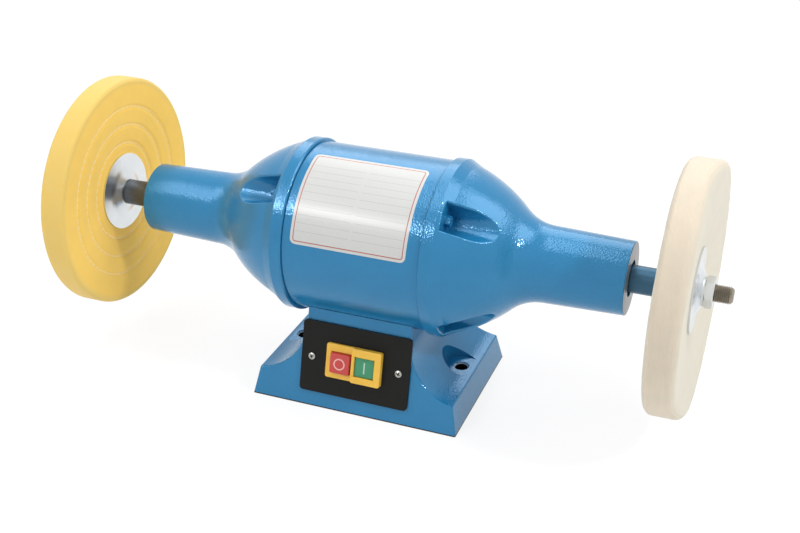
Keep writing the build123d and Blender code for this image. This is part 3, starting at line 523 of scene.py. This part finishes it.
def cotton(name, face, rim, roughness):
    finish = Finish(name, Sheen_Weight=0.25, Sheen_Roughness=0.5, Specular_IOR_Level=0.2)
    across, up = finish.axes()[1:]
    radius = finish.length(across, up - axis_height)
    clouds = finish.noise(size=14 * millimetre, detail=4.0)
    lint = finish.noise(size=0.9 * millimetre, detail=3.0)
    weave = finish.wave(across, weave_pitch) * finish.wave(up, weave_pitch)
    at_rim = finish.fit(radius, wheel_radius - rim_colour_start, wheel_radius - rim_colour_end)
    rim_coloured = finish.blend(at_rim, face, rim)
    stained = finish.fit(clouds, 0.35, 0.75, to_high=0.3)
    finish.set(
        Base_Color=finish.blend(stained, rim_coloured, darker(face, 0.86)),
        Roughness=roughness + 0.1 * lint,
    )
    relief = weave * (1 - at_rim) * 0.5 + lint * 1.2
    finish.bump(relief, distance=0.12 * millimetre, strength=0.6)
    print(name)
    return finish.material


yellow_cotton = cotton("yellow_cotton", linear(255, 208, 93), rim=linear(230, 198, 112), roughness=0.75)
white_cotton = cotton("white_cotton", linear(215, 209, 192), rim=linear(219, 206, 186), roughness=0.82)
thread_cotton = cotton("thread_cotton", linear(255, 228, 178), rim=linear(255, 228, 178), roughness=0.8)

# %% [markdown]
# ## The two buffs
# A buff is squeezed thin between its flanges and swells towards the rim. The firm one has three stitched
# rings, which pull grooves into its faces. Round the rim every ply makes a small ridge. All this is the
# same the whole way round, so it goes into a section that will be spun.

# %% Sections of the buffs
wheel_bore = 7.1 * millimetre
squeeze_radius = 35.0 * millimetre
hub_half = (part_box("right_outer_flange")[0].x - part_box("right_inner_flange")[1].x) / 2
stitch_radii = [radius * millimetre for radius in (43.0, 59.0, 75.0)]
stitch_groove_depth = 0.9 * millimetre
stitch_groove_width = 3.2 * millimetre
face_step = 1.6 * millimetre
groove_step = 0.8 * millimetre
rim_step = 0.26 * millimetre


def groove(distance):
    """Share of a soft groove's depth at a distance from its middle."""
    return 0.5 + 0.5 * math.cos(math.pi * min(abs(distance) / stitch_groove_width, 1.0))


def face_half(radius, half, corner):
    """Half thickness of a wheel: thin between the flanges, full where its rim rounds off."""
    stations = (squeeze_radius, wheel_radius - corner)
    return float(numpy.interp(radius, stations, (hub_half, half)))


def face_row(half, corner, rows):
    """One face of a wheel's section, from the bore to where the rim rounds off."""
    points = [(hub_half, wheel_bore), (hub_half, squeeze_radius)]
    radius = squeeze_radius
    while radius < wheel_radius - corner - face_step:
        near = min((abs(radius - row) for row in rows), default=1.0)
        radius += groove_step if near < stitch_groove_width * 1.5 else face_step
        pulled = stitch_groove_depth * sum(groove(radius - row) for row in rows)
        points.append((face_half(radius, half, corner) - pulled, radius))
    return points


def rim_row(half, corner, ply, ridge):
    """Half of a wheel's rim section, from the face to the middle, with a ridge for each ply."""
    arc = corner * math.pi / 2
    length = arc + half - corner
    count = round(length / rim_step)
    points = []
    for index in range(count + 1):
        travelled = length * index / count
        turn = min(travelled / corner, math.pi / 2)
        offset = half - corner + corner * math.cos(turn) - max(travelled - arc, 0.0)
        valley = ridge * (1 - abs(math.sin(math.pi * offset / ply)))
        radius = wheel_radius - corner + (corner - valley) * math.sin(turn)
        points.append((offset - valley * math.cos(turn), radius))
    return points


print("hub", round(2 * hub_half, 4), "m thick between the flanges")

# %% [markdown]
# A spun wheel is too even for cloth. Noise sways its plies and frays its rim, much more on the soft
# wheel. The soft one has also been leaned on: its outer face has sunk in front, which lets the flange
# show. Nothing moves between the flanges, so the hub stays tight.

# %% Buffs
wheel_steps = 160
sway_rate = 1.7
ply_rate = 700.0
spoke_rate = 6.0
fray_rate = 1.9
fray_edge = 8
dip_rise = math.radians(25.0)
dip_side = Vector((0.0, -math.cos(dip_rise), math.sin(dip_rise)))
dip_spread = 0.57


def ruffle(bm, middle, half, sway, ripple, fray, dip):
    """Sway a wheel's free part, ripple its plies, fray its rim and sink its outer face in front."""
    for vert in bm.verts:
        spoke = vert.co - axis_point
        radius = math.hypot(spoke.y, spoke.z)
        free = max(radius - squeeze_radius, 0.0) / (wheel_radius - squeeze_radius)
        around = Vector((middle, spoke.y, spoke.z)) / radius
        layer = Vector(((spoke.x - middle) * ply_rate, around.y * spoke_rate, around.z * spoke_rate))
        facing = min(max(around.dot(dip_side) / dip_spread, 0.0), 1.0)
        share = min((spoke.x - middle + half) / (half + hub_half), 1.0)
        vert.co.x -= dip * free * share * facing * facing * (3 - 2 * facing)
        swayed = sway * noise.noise(around * sway_rate) + ripple * noise.noise(layer)
        vert.co.x += free * free * swayed
        frayed = fray * (0.5 + 0.5 * noise.noise(layer * fray_rate))
        shrink = 1 - free ** fray_edge * frayed / wheel_radius
        vert.co.y = spoke.y * shrink
        vert.co.z = axis_height + spoke.z * shrink


def buff(node, body, slot, material, corner, rows, ply, ridge, sway, ripple, fray, dip=0.0):
    """A soft wheel in place of a node, with the middle and the half of its thickness."""
    low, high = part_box(node)
    middle = (low.x + high.x) / 2
    half = (high.x - low.x) / 2
    row = face_row(half, corner, rows) + rim_row(half, corner, ply, ridge)
    mirrored = [(-offset, radius) for offset, radius in reversed(row[:-1])]
    bm = spun([(middle + offset, radius) for offset, radius in row + mirrored], wheel_steps)
    ruffle(bm, middle, half, sway, ripple, fray, dip)
    made = finish_piece(node + "_cloth", bm, body, slot, material, crease=60)
    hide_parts(node)
    return made, middle, half


left_corner = 3.2 * millimetre
right_corner = 7.0 * millimetre
left_cloth, left_middle, left_half = buff(
    "left_buff", "spindle", "yellow_cotton", yellow_cotton, left_corner, stitch_radii,
    ply=1.15 * millimetre, ridge=0.16 * millimetre, sway=0.2 * millimetre, ripple=0.08 * millimetre,
    fray=0.15 * millimetre,
)
right_cloth = buff(
    "right_buff", "spindle", "white_cotton", white_cotton, right_corner, [],
    ply=1.5 * millimetre, ridge=0.12 * millimetre, sway=0.7 * millimetre, ripple=0.3 * millimetre,
    fray=0.3 * millimetre, dip=6.0 * millimetre,
)[0]

# %% [markdown]
# Each stitch is a small stretched sphere that lies along its ring, half sunk in the groove. The rows on
# both faces of the yellow wheel make one mesh.

# %% Stitches
stitch_length = 6.3 * millimetre
stitch_pitch = 6.4 * millimetre
stitch_width = 1.0 * millimetre


def stitch_rows():
    bm = bmesh.new()
    for radius in stitch_radii:
        count = round(2 * math.pi * radius / stitch_pitch)
        seat = face_half(radius, left_half, left_corner) - stitch_groove_depth
        for side in (-1, 1):
            for index in range(count):
                turn = Matrix.Rotation(2 * math.pi * index / count, 4, "X")
                place = Matrix.Translation((left_middle + side * seat, 0.0, radius))
                shape = Matrix.Diagonal((stitch_width / 2, stitch_length / 2, stitch_width / 2, 1.0))
                stand = Matrix.Translation(axis_point) @ turn @ place @ shape
                bmesh.ops.create_uvsphere(bm, u_segments=8, v_segments=6, radius=1.0, matrix=stand)
    return finish_piece("left_buff_stitches", bm, "spindle", "white_cotton", thread_cotton, crease=80)


stitch_rows()

# %% [markdown]
# ## Shaft and threads
# The shaft is turned in one outline, from the thick seat of the rotor to the shoulders that the flanges
# rest on. The outline stops just inside each stud, because the studs get real threads.

# %% Shaft outline
thread_pitch = 1.5 * millimetre
thread_crest = 6.95 * millimetre
thread_length = 20.0 * millimetre
shoulder_chamfer = 1.0 * millimetre
shoulder_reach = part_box("right_inner_flange")[0].x
bearing_inner_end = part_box("right_bearing_inner_race")[0].x
rotor_seat_half = 75.0 * millimetre
rotor_seat_radius = shaft_high.z - axis_height
middle_radius = 13.0 * millimetre
end_radius = 11.0 * millimetre


def shaft_outline():
    thread_start = stud_reach - thread_length
    half = [
        (rotor_seat_half, rotor_seat_radius),
        (rotor_seat_half, middle_radius),
        (bearing_inner_end, middle_radius),
        (bearing_inner_end, end_radius),
        (shoulder_reach - shoulder_chamfer, end_radius),
        (shoulder_reach, end_radius - shoulder_chamfer),
        (shoulder_reach, thread_crest),
        (thread_start + thread_pitch, thread_crest),
        (thread_start + thread_pitch, 0.0),
    ]
    return [(-along, radius) for along, radius in reversed(half)] + half


print("shaft outline of", len(shaft_outline()), "points")

# %% [markdown]
# For a thread, the section of one turn is spun with a step along the axis, so that every turn meets the
# next, and planes then cut the ends flat. The right stud has a right-hand thread and the left one, its
# mirror image, a left-hand thread, so that the nuts can't work loose.

# %% Threaded shaft
thread_root = 6.05 * millimetre
thread_turn_steps = 40
shaft_steps = 64
stud_chamfer = 2.2 * millimetre


def cut_across(bm, along, keep=None):
    """Cut a mesh with a plane across the shaft, and clear what lies beyond it or before it."""
    geometry = bm.verts[:] + bm.edges[:] + bm.faces[:]
    bmesh.ops.bisect_plane(
        bm, geom=geometry, plane_co=(along, 0.0, 0.0), plane_no=shaft_line, dist=0.001 * millimetre,
        clear_outer=keep == "before", clear_inner=keep == "beyond",
    )


def threaded_stud(side):
    """One threaded end: a helical sweep, cut flat at both ends and chamfered at the tip."""
    bm = bmesh.new()
    start = stud_reach - thread_length - thread_pitch
    flank = 0.32 * thread_pitch
    crest = 0.24 * thread_pitch
    section = [
        (start, thread_root), (start + flank, thread_crest), (start + flank + crest, thread_crest),
        (start + 2 * flank + crest, thread_root), (start + thread_pitch, thread_root),
    ]
    geometry = chain(bm, [(along, 0.0, axis_height + radius) for along, radius in section], closed=False)
    turns = math.ceil(thread_length / thread_pitch) + 2
    bmesh.ops.spin(
        bm, geom=geometry, cent=axis_point, axis=shaft_line, angle=2 * math.pi * turns,
        steps=thread_turn_steps * turns, dvec=shaft_line * (thread_pitch / thread_turn_steps),
    )
    bmesh.ops.remove_doubles(bm, verts=bm.verts, dist=0.01 * millimetre)
    cut_across(bm, stud_reach - thread_length, keep="beyond")
    for share in (1.0, 0.75, 0.5, 0.25):
        cut_across(bm, stud_reach - stud_chamfer * share)
    cut_across(bm, stud_reach, keep="before")
    for vert in bm.verts:
        spoke = vert.co - axis_point
        limit = thread_crest - max(stud_chamfer - (stud_reach - spoke.x), 0.0)
        shrink = min(limit / math.hypot(spoke.y, spoke.z), 1.0)
        vert.co.y = spoke.y * shrink
        vert.co.z = axis_height + spoke.z * shrink
    bmesh.ops.holes_fill(bm, edges=[edge for edge in bm.edges if edge.is_boundary])
    if side < 0:
        bmesh.ops.scale(bm, vec=(-1.0, 1.0, 1.0), verts=bm.verts)
    return bm


def arbor():
    bm = spun(shaft_outline(), shaft_steps, closed=False)
    plain = len(bm.faces)
    for side in (-1, 1):
        add_to(bm, threaded_stud(side))
    bm.faces.ensure_lookup_table()
    for face in bm.faces[plain:]:
        face.material_index = 1
    made = finish_piece("threaded_arbor", bm, "spindle", "shaft_steel", shaft_steel, thread_steel)
    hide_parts("arbor_shaft")


arbor()

# %% [markdown]
# ## Switch details
# The plate, the bezel and the buttons lean back with the front of the base. One matrix stands on the
# front of a piece, with Z pointing out, so that small pieces can be made flat at the origin and moved
# there.

# %% The leaning front
outward = Vector((0.0, -math.cos(face_lean), math.sin(face_lean)))
uphill = Vector((0.0, math.sin(face_lean), math.cos(face_lean)))
front_tolerance = 0.02 * millimetre


def front_of(node, side=0):
    """A matrix on the middle of a node's front face, or of its left or right half."""
    corners = [vert.co for vert in nodes[node].data.vertices if vert.co.x * side >= 0]
    front = max(corner.dot(outward) for corner in corners)
    top = [corner for corner in corners if corner.dot(outward) > front - front_tolerance]
    sideways = [corner.x for corner in top]
    heights = [corner.dot(uphill) for corner in top]
    middle = (min(sideways) + max(sideways)) / 2
    height = (min(heights) + max(heights)) / 2
    place = shaft_line * middle + uphill * height + outward * front
    turn = Matrix((shaft_line, uphill, outward)).transposed().to_4x4()
    return Matrix.Translation(place) @ turn


print("front leans back by", round(math.degrees(face_lean), 2), "degrees")

# %% [markdown]
# Two pan-head screws hold the plate. Each starts as a disc that planes cut into a cross. The disc is
# domed, the cross is extruded down into a recess coloured dark as painted shade, and the edge is drawn
# down into the head's side and the shank.

# %% Plate screws
# The dark colour of the cross recess is painted shade.
recess_shade = plain_metal("recess_shade", linear(46, 46, 46), roughness=0.5, grain=1.0)
screw_head_radius = 2.9 * millimetre
screw_head_height = 1.9 * millimetre
screw_dome = 1.1 * millimetre
screw_shank_radius = 1.45 * millimetre
screw_shank_length = 6.0 * millimetre
recess_length = 1.95 * millimetre
recess_width = 0.55 * millimetre
recess_depth = 1.1 * millimetre
recess_taper = 0.72
screw_turns = {-1: math.radians(20), 1: math.radians(62)}


def cross_screw(turned):
    """A pan-head screw, top at the origin: a disc cut into a cross, domed, with its edge drawn down."""
    bm = bmesh.new()
    bmesh.ops.create_circle(bm, cap_ends=True, segments=32, radius=screw_head_radius)
    for axis in (Vector((1, 0, 0)), Vector((0, 1, 0))):
        for offset in (-recess_length, -recess_width, recess_width, recess_length):
            geometry = bm.verts[:] + bm.edges[:] + bm.faces[:]
            bmesh.ops.bisect_plane(bm, geom=geometry, plane_co=axis * offset, plane_no=axis)
    rim = [edge for edge in bm.edges if edge.is_boundary]
    for vert in bm.verts:
        vert.co.z = -screw_dome * (vert.co.length / screw_head_radius) ** 2
    cross = []
    for face in bm.faces:
        middle = face.calc_center_median()
        wide, tall = sorted((abs(middle.x), abs(middle.y)))
        if wide < recess_width and tall < recess_length:
            cross.append(face)
    sunk = bmesh.ops.extrude_face_region(bm, geom=cross)["geom"]
    # The recess walls take the second material, dark as painted shade.
    for face in (item for item in sunk if isinstance(item, bmesh.types.BMFace)):
        face.material_index = 1
    floor = [item for item in sunk if isinstance(item, bmesh.types.BMVert)]
    bmesh.ops.delete(bm, geom=cross, context="FACES_ONLY")
    for vert in floor:
        vert.co = Vector((vert.co.x * recess_taper, vert.co.y * recess_taper, -recess_depth))
    for radius, depth in (
        (screw_head_radius, screw_head_height),
        (screw_shank_radius, screw_head_height),
        (screw_shank_radius, screw_head_height + screw_shank_length),
    ):
        drawn = bmesh.ops.extrude_edge_only(bm, edges=rim)["geom"]
        rim = [item for item in drawn if isinstance(item, bmesh.types.BMEdge) and item.is_boundary]
        for vert in {vert for edge in rim for vert in edge.verts}:
            flat = Vector((vert.co.x, vert.co.y, 0.0)).normalized() * radius
            vert.co = Vector((flat.x, flat.y, -depth))
    bmesh.ops.holes_fill(bm, edges=rim)
    bmesh.ops.rotate(bm, cent=(0, 0, 0), matrix=Matrix.Rotation(turned, 3, "Z"), verts=bm.verts)
    return bm


def plate_screws():
    bm = bmesh.new()
    for side, turned in screw_turns.items():
        screw = cross_screw(turned)
        screw.transform(front_of("switch_plate_screws", side))
        add_to(bm, screw)
    made = finish_piece(
        "cross_head_screws", bm, "machine", "zinc_steel", screw_steel, recess_shade, crease=40
    )
    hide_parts("switch_plate_screws")


plate_screws()

# %% [markdown]
# The buttons carry the plain marks for off and on, a ring and a bar, printed in a pale tint of each
# button's colour. They stand just proud of the button and move with it.

# %% Button marks
mark_pink = moulded("mark_pink", linear(238, 182, 174), roughness=0.40, grain=2.0, relief=0.02)
mark_green = moulded("mark_green", linear(198, 222, 206), roughness=0.40, grain=2.0, relief=0.02)
mark_height = 0.15 * millimetre
mark_stroke = 1.1 * millimetre
ring_radius = 4.4 * millimetre
bar_length = 9.6 * millimetre
bar_edge = 0.06 * millimetre


def stop_ring():
    """The off mark: a small square section spun about Z."""
    bm = bmesh.new()
    low, high = -mark_height, mark_height
    near, far = ring_radius - mark_stroke / 2, ring_radius + mark_stroke / 2
    geometry = chain(bm, [(near, 0, low), (far, 0, low), (far, 0, high), (near, 0, high)], closed=True)
    bmesh.ops.spin(
        bm, geom=geometry, cent=(0, 0, 0), axis=(0, 0, 1), angle=2 * math.pi, steps=64, use_merge=True
    )
    bm.transform(front_of("stop_button"))
    finish_piece("stop_ring", bm, "stop_button", "capacitor_can", mark_pink)


def start_bar():
    """The on mark: a thin bar with softened edges."""
    bm = bmesh.new()
    shape = Matrix.Diagonal((mark_stroke, bar_length, 2 * mark_height, 1.0))
    bmesh.ops.create_cube(bm, size=1.0, matrix=shape)
    bmesh.ops.bevel(
        bm, geom=bm.edges[:], offset=bar_edge, segments=2, profile=0.5, affect="EDGES", material=-1
    )
    bm.transform(front_of("start_button"))
    finish_piece("start_bar", bm, "start_button", "capacitor_can", mark_green)


stop_ring()
start_bar()

# %% [markdown]
# Behind each button a coil spring sits round its stem. A circle is spun with a step along the axis, as
# the threads are.

# %% Button springs
spring_coil_radius = 3.55 * millimetre
spring_wire_radius = 0.45 * millimetre
spring_turns = 4
spring_turn_steps = 24
joints = {joint["name"]: joint for joint in record["behaviour"]["joints"]}


def button_spring(button):
    node = button + "_spring"
    depths = [vert.co.dot(outward) for vert in nodes[node].data.vertices]
    length = max(depths) - min(depths)
    front = front_of(button)
    seat = min(depths) - front.translation.dot(outward)
    bm = bmesh.new()
    place = Matrix.Translation((spring_coil_radius, 0.0, seat + spring_wire_radius))
    upright = place @ Matrix.Rotation(math.pi / 2, 4, "X")
    bmesh.ops.create_circle(bm, segments=10, radius=spring_wire_radius, matrix=upright)
    steps = spring_turns * spring_turn_steps
    rise = length - 2 * spring_wire_radius
    bmesh.ops.spin(
        bm, geom=bm.verts[:] + bm.edges[:], cent=(0, 0, 0), axis=(0, 0, 1), dvec=(0, 0, rise / steps),
        angle=2 * math.pi * spring_turns, steps=steps,
    )
    bmesh.ops.holes_fill(bm, edges=[edge for edge in bm.edges if edge.is_boundary])
    bm.transform(front)
    made = finish_piece(node + "_coil", bm, "machine", "pressed_steel", pressed_steel, crease=60)
    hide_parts(node)
    press = button + "_press"
    left_over = 1 - joints[press]["range_m"][1] / length
    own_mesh(made)


button_spring("stop_button")
button_spring("start_button")

# %% [markdown]
# ## The bare label
# The barrel carries a plain white label with round corners, faint ruled lines and a thin border. The
# lines follow the sheet's flat coordinates in metres, which the sheet keeps as UV, so they stay straight
# when it is rolled up.

# %% Label finishes
label_left = -50.0 * millimetre
label_right = 46.7 * millimetre
label_top_angle = math.radians(10.0)
label_bottom_angle = math.radians(77.5)
rule_pitch = 6.4 * millimetre
rule_edge = 0.985
rule_strength = 0.5
ruled_reach = 0.46
ruled_gutter = 0.03
ruled_rise = 0.4
label_width = label_right - label_left
label_height = barrel_radius * (label_bottom_angle - label_top_angle)


def label_paper():
    """White film with faint ruled lines, drawn from the flat UV in metres."""
    finish = Finish("label_paper", coordinates="UV", Roughness=0.26)
    across, up = finish.axes()[:2]
    rules = finish.wave(up, rule_pitch) > rule_edge
    left_field = (across < 0.0) * (across > -ruled_reach * label_width)
    right_field = (across > ruled_gutter * label_width) * (across < ruled_reach * label_width)
    inside = (left_field + right_field) * (abs(up) < ruled_rise * label_height)
    grain = finish.noise(size=2.0 * millimetre, detail=2.0)
    film = finish.blend(grain, linear(198, 199, 196), linear(205, 206, 203))
    finish.set(Base_Color=finish.blend(rules * inside * rule_strength, film, linear(150, 152, 155)))
    return finish.material


label_red = moulded("label_red", linear(176, 96, 92), roughness=0.30, grain=2.0, relief=0.01)
print("label", round(label_width, 4), "by", round(label_height, 4), "m")

# %% [markdown]
# The label is made flat, from one square: a bevel rounds the corners, two insets make the border, cuts
# give it length to bend, and the flat place of each vertex is kept as UV. Then the sheet is rolled onto
# the barrel and thickened.

# %% Label
label_corner = 4.5 * millimetre
label_margin = 2.2 * millimetre
label_line = 0.8 * millimetre
label_film = 0.2 * millimetre
label_cuts = 28


def bare_label():
    bm = bmesh.new()
    bmesh.ops.create_grid(bm, x_segments=1, y_segments=1, size=0.5)
    bmesh.ops.scale(bm, vec=(label_width, label_height, 1.0), verts=bm.verts)
    bmesh.ops.bevel(
        bm, geom=bm.verts[:], offset=label_corner, segments=6, profile=0.5, affect="VERTICES", material=-1
    )
    field = bm.faces[:]
    bmesh.ops.inset_region(
        bm, faces=field, thickness=label_margin, use_boundary=True, use_even_offset=True
    )
    border = bmesh.ops.inset_region(
        bm, faces=field, thickness=label_line, use_boundary=True, use_even_offset=True
    )["faces"]
    for face in border:
        face.material_index = 1
    for index in range(1, label_cuts):
        geometry = bm.verts[:] + bm.edges[:] + bm.faces[:]
        height = label_height * (index / label_cuts - 0.5)
        bmesh.ops.bisect_plane(bm, geom=geometry, plane_co=(0, height, 0), plane_no=(0, 1, 0))
    flat = bm.loops.layers.uv.new("flat")
    for face in bm.faces:
        for loop in face.loops:
            loop[flat].uv = loop.vert.co.xy
    middle_angle = (label_top_angle + label_bottom_angle) / 2
    for vert in bm.verts:
        angle = middle_angle - vert.co.y / barrel_radius
        radius = barrel_radius + label_film
        along = vert.co.x + (label_left + label_right) / 2
        vert.co = Vector((along, -radius * math.sin(angle), axis_height + radius * math.cos(angle)))
    bmesh.ops.recalc_face_normals(bm, faces=bm.faces)
    bmesh.ops.solidify(bm, geom=bm.faces[:], thickness=label_film)
    finish_piece("blank_label", bm, "machine", "capacitor_can", label_paper(), label_red)


bare_label()

# %% [markdown]
# ## Studio
# The floor and the surround are white to the camera and in reflections, and give an even fill to
# everything else. Near the machine the floor keeps a share of its own shading, and with it the machine's
# shadow. Further out it turns as white as the surround, so that no horizon shows, and from below it is
# clear.

# %% Floor and surround
floor_radius = 6.0
floor_drop = 0.2 * millimetre
floor_glow = 1.05
floor_white_near = 0.78
floor_shade_start = 0.3
floor_shade_end = 1.6
surround_fill = 0.41
black = [0.0, 0.0, 0.0, 1.0]
white = [1.0, 1.0, 1.0, 1.0]
floor_paint = darker(white, 0.93)


def seen_directly(tree):
    """One for rays from the camera and for those seen in a reflection or through glass."""
    path = tree.nodes.new("ShaderNodeLightPath")
    return sum(
        (Wire(path.outputs[name]) for name in ("Is Glossy Ray", "Is Transmission Ray")),
        Wire(path.outputs["Is Camera Ray"]),
    )


def studio_floor():
    finish = Finish("floor_white", Roughness=0.9, Specular_IOR_Level=0.0, Emission_Strength=floor_glow)
    across, away = finish.axes()[:2]
    distance = finish.length(across, away)
    share = finish.fit(distance, floor_shade_start, floor_shade_end, floor_white_near, 1.0)
    glow = share * seen_directly(finish.material.node_tree)
    underneath = finish.place.node("ShaderNodeNewGeometry", output="Backfacing")
    finish.set(
        Base_Color=finish.blend(glow, floor_paint, black),
        Emission_Color=finish.blend(glow, black, white),
        Alpha=1 - underneath,
    )
    bm = bmesh.new()
    bmesh.ops.create_circle(bm, cap_ends=True, segments=96, radius=floor_radius)
    mesh = bpy.data.meshes.new("floor")
    bm.to_mesh(mesh)
    bm.free()
    mesh.materials.append(finish.material)
    floor = bpy.data.objects.new("floor", mesh)
    floor.location.z = -floor_drop
    scene.collection.objects.link(floor)


def surround():
    world = bpy.data.worlds.new("white_surround")
    scene.world = world
    world.use_nodes = True
    strength = surround_fill + (1 - surround_fill) * seen_directly(world.node_tree)
    plug_in(world.node_tree.nodes["Background"], {"Color": white, "Strength": strength})


studio_floor()
surround()
print("floor of", floor_radius, "m, fill", surround_fill)

# %% [markdown]
# Soft boxes stand where the photograph's highlights point: in front to the left, overhead, to the right
# and behind. A gloss shows a lamp as a mirror does, so the long streaks on the noses and the barrel are
# these boxes, and a small one on the right makes the sparkle on the bell.

# %% Lamps
lamp_distance = 1.6


def soft_box(name, azimuth, elevation, width, height, watts, distance=lamp_distance):
    """An area lamp that looks at the machine from a direction, given as the camera's is."""
    lamp = bpy.data.lights.new(name, "AREA")
    lamp.shape = "RECTANGLE"
    lamp.size = width
    lamp.size_y = height
    lamp.energy = watts
    box = bpy.data.objects.new(name, lamp)
    scene.collection.objects.link(box)
    turn, tilt = math.radians(azimuth), math.radians(elevation)
    direction = Vector((
        math.sin(turn) * math.cos(tilt), -math.cos(turn) * math.cos(tilt), math.sin(tilt)
    ))
    box.location = axis_point + direction * distance
    box.rotation_euler = direction.to_track_quat("Z", "Y").to_euler()
    print(name, watts, "W")


soft_box("front_box", azimuth=-29.0, elevation=40.0, width=0.34, height=0.2, watts=4.0)
soft_box("left_box", azimuth=-64.0, elevation=45.0, width=1.3, height=0.6, watts=5.8)
soft_box("top_box", azimuth=-90.0, elevation=82.0, width=1.17, height=0.4, watts=4.0, distance=1.5)
soft_box("right_box", azimuth=110.0, elevation=51.0, width=1.0, height=0.9, watts=8.6)
soft_box("spark_box", azimuth=77.0, elevation=41.0, width=0.12, height=0.12, watts=7.0)
soft_box("back_box", azimuth=194.0, elevation=44.0, width=1.1, height=1.1, watts=7.5)
